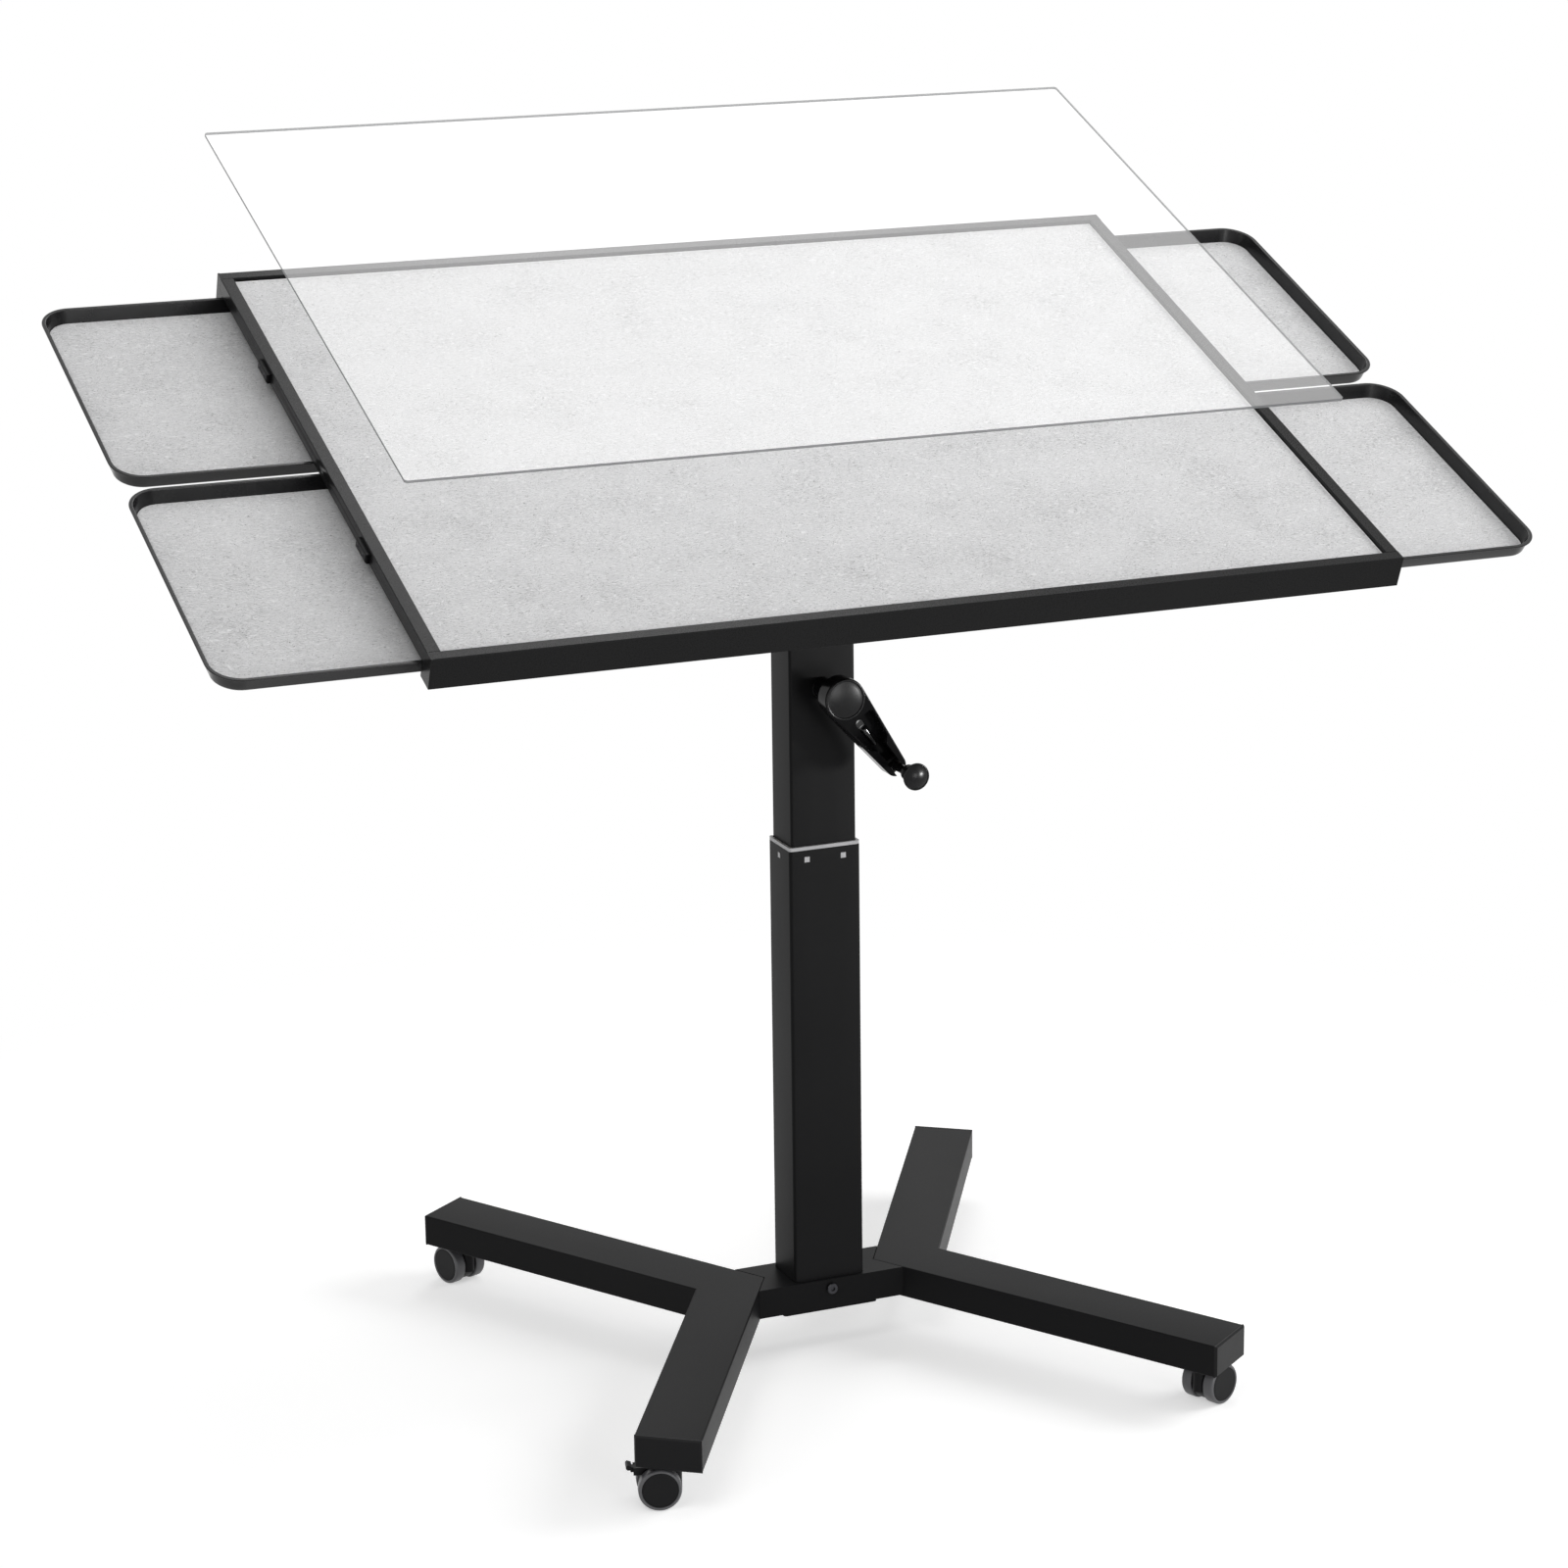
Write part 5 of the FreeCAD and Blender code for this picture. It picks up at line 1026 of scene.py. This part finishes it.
class TABLE_OT_fasteners(bpy.types.Operator):
    """Make the screws and the lifting screw's thread"""

    bl_idname = "puzzle_table.fasteners"
    bl_label = "Fasteners"

    def execute(self, context):
        up = Vector((0, 0, 1))
        front = Vector((0, -1, 0))
        build = screw_tree()
        both = (front, -front)
        # the last five: head radius, height and sides, shank radius, headings
        for node, body, slot, finish, *shape in (
            ("cross_screws", "base", "steel", "black screw", 5.2, 3.2, 48, 3.0, both),
            ("base_bolts", "base", "steel", "black screw", 5.8, 3.2, 6, 3.0, (-up,)),
            ("bracket_screws", "top", "zinc", "zinc", 4.6, 2.6, 6, 2.5, (-BOARD_UP,)),
        ):
            piece = self.screws(build, node, finish, *shape)
            hand_over(piece, body, slot, node)
        paint("black screw", "catch_screws")
        self.lifting_screw()
        return {"FINISHED"}

    def screws(self, build, node, finish, head, tall, sides, shank, headings):
        """Screws in the places of a CAD node's, each where its head bears."""
        depth = Setup.sizes().socket_depth
        points = []
        facing = []
        lengths = []
        for middle, low, high in node_centres(node):
            heading = max(headings, key=lambda way: middle.dot(way))
            reach = [corner.dot(heading) for corner in (low, high)]
            if 0 < abs(heading.z) < 0.999:
                reach = self.reach_along(node, heading, middle)
            top = max(reach)
            points.append(middle + heading * (top - middle.dot(heading) - tall * MM))
            facing.append(heading)
            lengths.append(top - min(reach) - tall * MM)
        name = node + "_made"
        mesh = bpy.data.meshes.new(name)
        mesh.from_pydata([tuple(point) for point in points], [], [])
        heading = mesh.attributes.new("heading", "FLOAT_VECTOR", "POINT")
        for item, way in zip(heading.data, facing):
            item.vector = way
        piece = new_piece(name, mesh)
        build.apply(
            piece,
            head_radius=head * MM,
            head_height=tall * MM,
            head_sides=sides,
            socket_radius=head * MM * SOCKET_SHARE,
            socket_depth=depth,
            shank_radius=shank * MM,
            shank_length=max(lengths),
            finish=MATERIALS[finish],
        )
        smooth(piece.data, 30)
        return piece

    def reach_along(self, node, heading, middle):
        """How far the solid at a place runs along a slanted heading."""
        near = [
            vertex.co.dot(heading)
            for vertex in NODES[node].data.vertices
            if (vertex.co - middle).length < SCREW_REACH
        ]
        return [min(near), max(near)]

    def lifting_screw(self):
        """The CAD shaft's own turned shape, cut to its core where the thread runs."""
        rib = Setup.sizes().thread_depth
        across = middle_of("lead_screw")
        rows = set()
        for vertex in NODES["lead_screw"].data.vertices:
            out = math.hypot(vertex.co.x - across.x, vertex.co.y - across.y)
            rows.add((round(vertex.co.z, 5), round(out, 4)))
        levels = sorted({level for level, out in rows})
        profile = [(levels[0] / MM, 0.0)]
        before = 0.0
        for level in levels:
            outs = {out for at, out in rows if at == level}
            for out in sorted(outs, key=lambda out: abs(out - before)):
                profile.append((level / MM, out / MM))
                before = out
        profile.append((levels[-1] / MM, 0.0))
        start, stop = levels[1] + THREAD_RUN_IN, levels[2] - THREAD_RUN_OUT
        outer = [out for at, out in rows if at == levels[1]][0]
        core = outer - rib
        cut = [row for row in profile if row[0] * MM < start]
        cut += [(start / MM, outer / MM), ((start + THREAD_SLOPE) / MM, core / MM)]
        cut += [((stop - THREAD_SLOPE) / MM, core / MM), (stop / MM, outer / MM)]
        cut += [row for row in profile if row[0] * MM > start]

        def place(along, a, b):
            return Vector((across.x + a * MM, across.y + b * MM, along * MM))

        shaft = lathed("lifting_shaft", cut, place, 48)
        smooth(shaft, 35)
        mesh = bpy.data.meshes.new("lifting_thread")
        mesh.from_pydata([(across.x, across.y, start + rib)], [], [])
        thread = new_piece("lifting_thread", mesh)
        pitch = Setup.sizes().thread_pitch
        rise = stop - start - 2 * rib
        thread_tree().apply(
            thread,
            thread_radius=core,
            thread_rib=rib * 2,
            turns=rise / pitch,
            rise=rise,
            left_handed=True,
            finish=MATERIALS["steel"],
        )
        smooth(thread.data, 35)
        mesh = joined_mesh("lead_screw_threaded", [shaft, thread.data])
        bpy.data.objects.remove(thread)
        smooth(mesh, 35)
        piece = new_piece("lead_screw_threaded", mesh, "steel")
        hand_over(piece, "screw", "steel", "lead_screw")


FLOOR = 12.0  # half the floor's side
FLOOR_GLOW = 0.46  # so that the floor looks as white as the background
SKY = 0.40
CAMERA = (-1.43418, -3.36817, 1.52399)
GLINTING = ("crank_arm_", "hub_cap_", "crank_knob_", "inner_column_", "outer_column_")
# name, place, aim, size, watts, and whether its matt light, its gloss or both show
LAMPS = (
    ("key", (-1.9, -1.6, 3.2), (0, 0, 0.8), 1.6, 20.0, "both"),
    ("side", (3.4, -0.6, 2.4), (0, 0, 0.85), 2.4, 78.0, "matt"),
    ("fill", (2.2, -2.6, 2.2), (0, 0, 0.7), 1.8, 6.0, "both"),
    ("front", (0.5, -3.4, 0.58), (0, 0, 0.7), 1.1, 24.0, "both"),
    ("glint", (2.0, -2.1, 0.62), (0, 0, 0.6), 0.5, 110.0, "gloss"),
    ("top", (0.3, 0.2, 3.6), (0, 0, 0.8), 2.4, 14.0, "both"),
    ("back", (0.7, 1.45, 2.75), (0, 0, 0.88), 1.1, 10.0, "both"),
    ("left strip", (-3.2, -0.9, 1.1), (-0.3, 0, 0.7), 0.9, 5.0, "both"),
)


class TABLE_OT_stage(bpy.types.Operator):
    """Set the floor, the lights, the world and the camera"""

    bl_idname = "puzzle_table.stage"
    bl_label = "Stage"

    def execute(self, context):
        self.floor()
        self.world()
        self.lamps()
        self.camera()
        context.scene.view_settings.view_transform = "Standard"
        return {"FINISHED"}

    def floor(self):
        """A pale floor that fades to white where it is seen from afar."""
        mesh = bpy.data.meshes.new("floor")
        ways = (-1, -1), (1, -1), (1, 1), (-1, 1)
        corners = [(x * FLOOR, y * FLOOR, 0) for x, y in ways]
        mesh.from_pydata(corners, [], [(0, 1, 2, 3)])
        floor = bpy.data.objects.new("floor", mesh)
        bpy.context.scene.collection.objects.link(floor)
        make = Finish("pale floor")
        where = make.place()
        grain = make.noise(where, 3.0)
        base = make.mix(grain, (0.78, 0.78, 0.78, 1), (0.80, 0.80, 0.80, 1))
        away = make.vector("LENGTH", {0: where}, "Value")
        far = make.ramp(away * 0.1, [(0.05, 0.0), (0.13, 1.0)])
        watched = make.watched()
        inputs = {"Base Color": base, "Roughness": 0.9, "Specular IOR Level": 0.0}
        surface = make.node("ShaderNodeBsdfPrincipled", {}, inputs)
        inputs = {"Color": WHITE, "Strength": FLOOR_GLOW}
        glow = make.node("ShaderNodeEmission", {}, inputs)
        bright = make.node("ShaderNodeAddShader", {}, {0: surface, 1: glow})
        near = make.node("ShaderNodeMixShader", {}, {0: watched, 1: surface, 2: bright})
        blank = make.node("ShaderNodeEmission", {}, {"Color": WHITE, "Strength": 1.0})
        shown = {0: far * watched, 1: near, 2: blank}
        mesh.materials.append(make.output(make.node("ShaderNodeMixShader", {}, shown)))

    def world(self):
        """Soft light from all round, and a plain white background."""
        make = Finish("studio", "worlds")
        soft = make.node("ShaderNodeBackground", {}, {"Color": WHITE, "Strength": SKY})
        white = make.node("ShaderNodeBackground", {}, {"Color": WHITE, "Strength": 1.0})
        shown = {0: make.watched(), 1: soft, 2: white}
        mixed = make.node("ShaderNodeMixShader", {}, shown)
        bpy.context.scene.world = make.output(mixed, "ShaderNodeOutputWorld")

    def glinting(self):
        """The crank and the columns, which alone catch the glint."""
        pieces = bpy.data.collections.new("glinting pieces")
        for start in GLINTING:
            for piece in bpy.data.objects:
                if piece.name.startswith(start):
                    pieces.objects.link(piece)
        pieces.objects.link(NODES["knob_stem"])
        return pieces

    def lamps(self):
        for name, place, aim, size, power, seen_by in LAMPS:
            light = bpy.data.lights.new(name, "AREA")
            light.shape = "DISK"
            light.size = size
            light.energy = power
            lamp = bpy.data.objects.new(name, light)
            turn = Vector(aim) - Vector(place)
            lamp.rotation_euler = turn.to_track_quat("-Z", "Y").to_euler()
            lamp.location = place
            lamp.visible_diffuse = seen_by != "gloss"
            lamp.visible_glossy = seen_by != "matt"
            if seen_by == "gloss":
                lamp.light_linking.receiver_collection = self.glinting()
            bpy.context.scene.collection.objects.link(lamp)

    def camera(self):
        azimuth = math.radians(-22.64)
        elevation = math.radians(14.95)
        roll = math.radians(-0.74)
        right = Vector((math.cos(azimuth), math.sin(azimuth), 0))
        flat = math.cos(elevation)
        back = Vector(
            (math.sin(azimuth) * flat, -math.cos(azimuth) * flat, math.sin(elevation))
        )
        up = back.cross(right)
        turned_right = right * math.cos(roll) + up * math.sin(roll)
        turned_up = up * math.cos(roll) - right * math.sin(roll)
        data = bpy.data.cameras.new("camera")
        data.lens = 95.10
        data.sensor_width = 36.0
        data.clip_end = 50.0
        camera = bpy.data.objects.new("camera", data)
        rotation = Matrix((turned_right, turned_up, back)).transposed().to_4x4()
        camera.matrix_world = Matrix.Translation(CAMERA) @ rotation
        bpy.context.scene.collection.objects.link(camera)
        bpy.context.scene.camera = camera


OPERATORS = (
    TABLE_OT_finishes,
    TABLE_OT_base,
    TABLE_OT_column,
    TABLE_OT_board,
    TABLE_OT_trays,
    TABLE_OT_cover,
    TABLE_OT_crank,
    TABLE_OT_casters,
    TABLE_OT_fasteners,
    TABLE_OT_stage,
)


class TABLE_PT_panel(bpy.types.Panel):
    """Shows the table's colours, sizes and building steps in the sidebar"""

    bl_idname = "TABLE_PT_panel"
    bl_label = "Puzzle table"
    bl_space_type = "VIEW_3D"
    bl_region_type = "UI"
    bl_category = "Puzzle table"

    def draw(self, context):
        layout = self.layout
        for group in (Setup.colours(), Setup.sizes()):
            for name in group.__annotations__:
                layout.prop(group, name)
        for operator in OPERATORS:
            layout.operator(operator.bl_idname)


CLASSES = (TableColours, TableSizes) + OPERATORS + (TABLE_PT_panel,)


def register():
    for item in CLASSES:
        bpy.utils.register_class(item)
    scene = bpy.types.Scene
    scene.puzzle_table_colours = bpy.props.PointerProperty(type=TableColours)
    scene.puzzle_table_sizes = bpy.props.PointerProperty(type=TableSizes)


def unregister():
    del bpy.types.Scene.puzzle_table_sizes
    del bpy.types.Scene.puzzle_table_colours
    for item in reversed(CLASSES):
        bpy.utils.unregister_class(item)


def main():
    register()
    for operator in OPERATORS:
        group, name = operator.bl_idname.split(".")
        getattr(getattr(bpy.ops, group), name)()


if __name__ == "__main__":
    main()
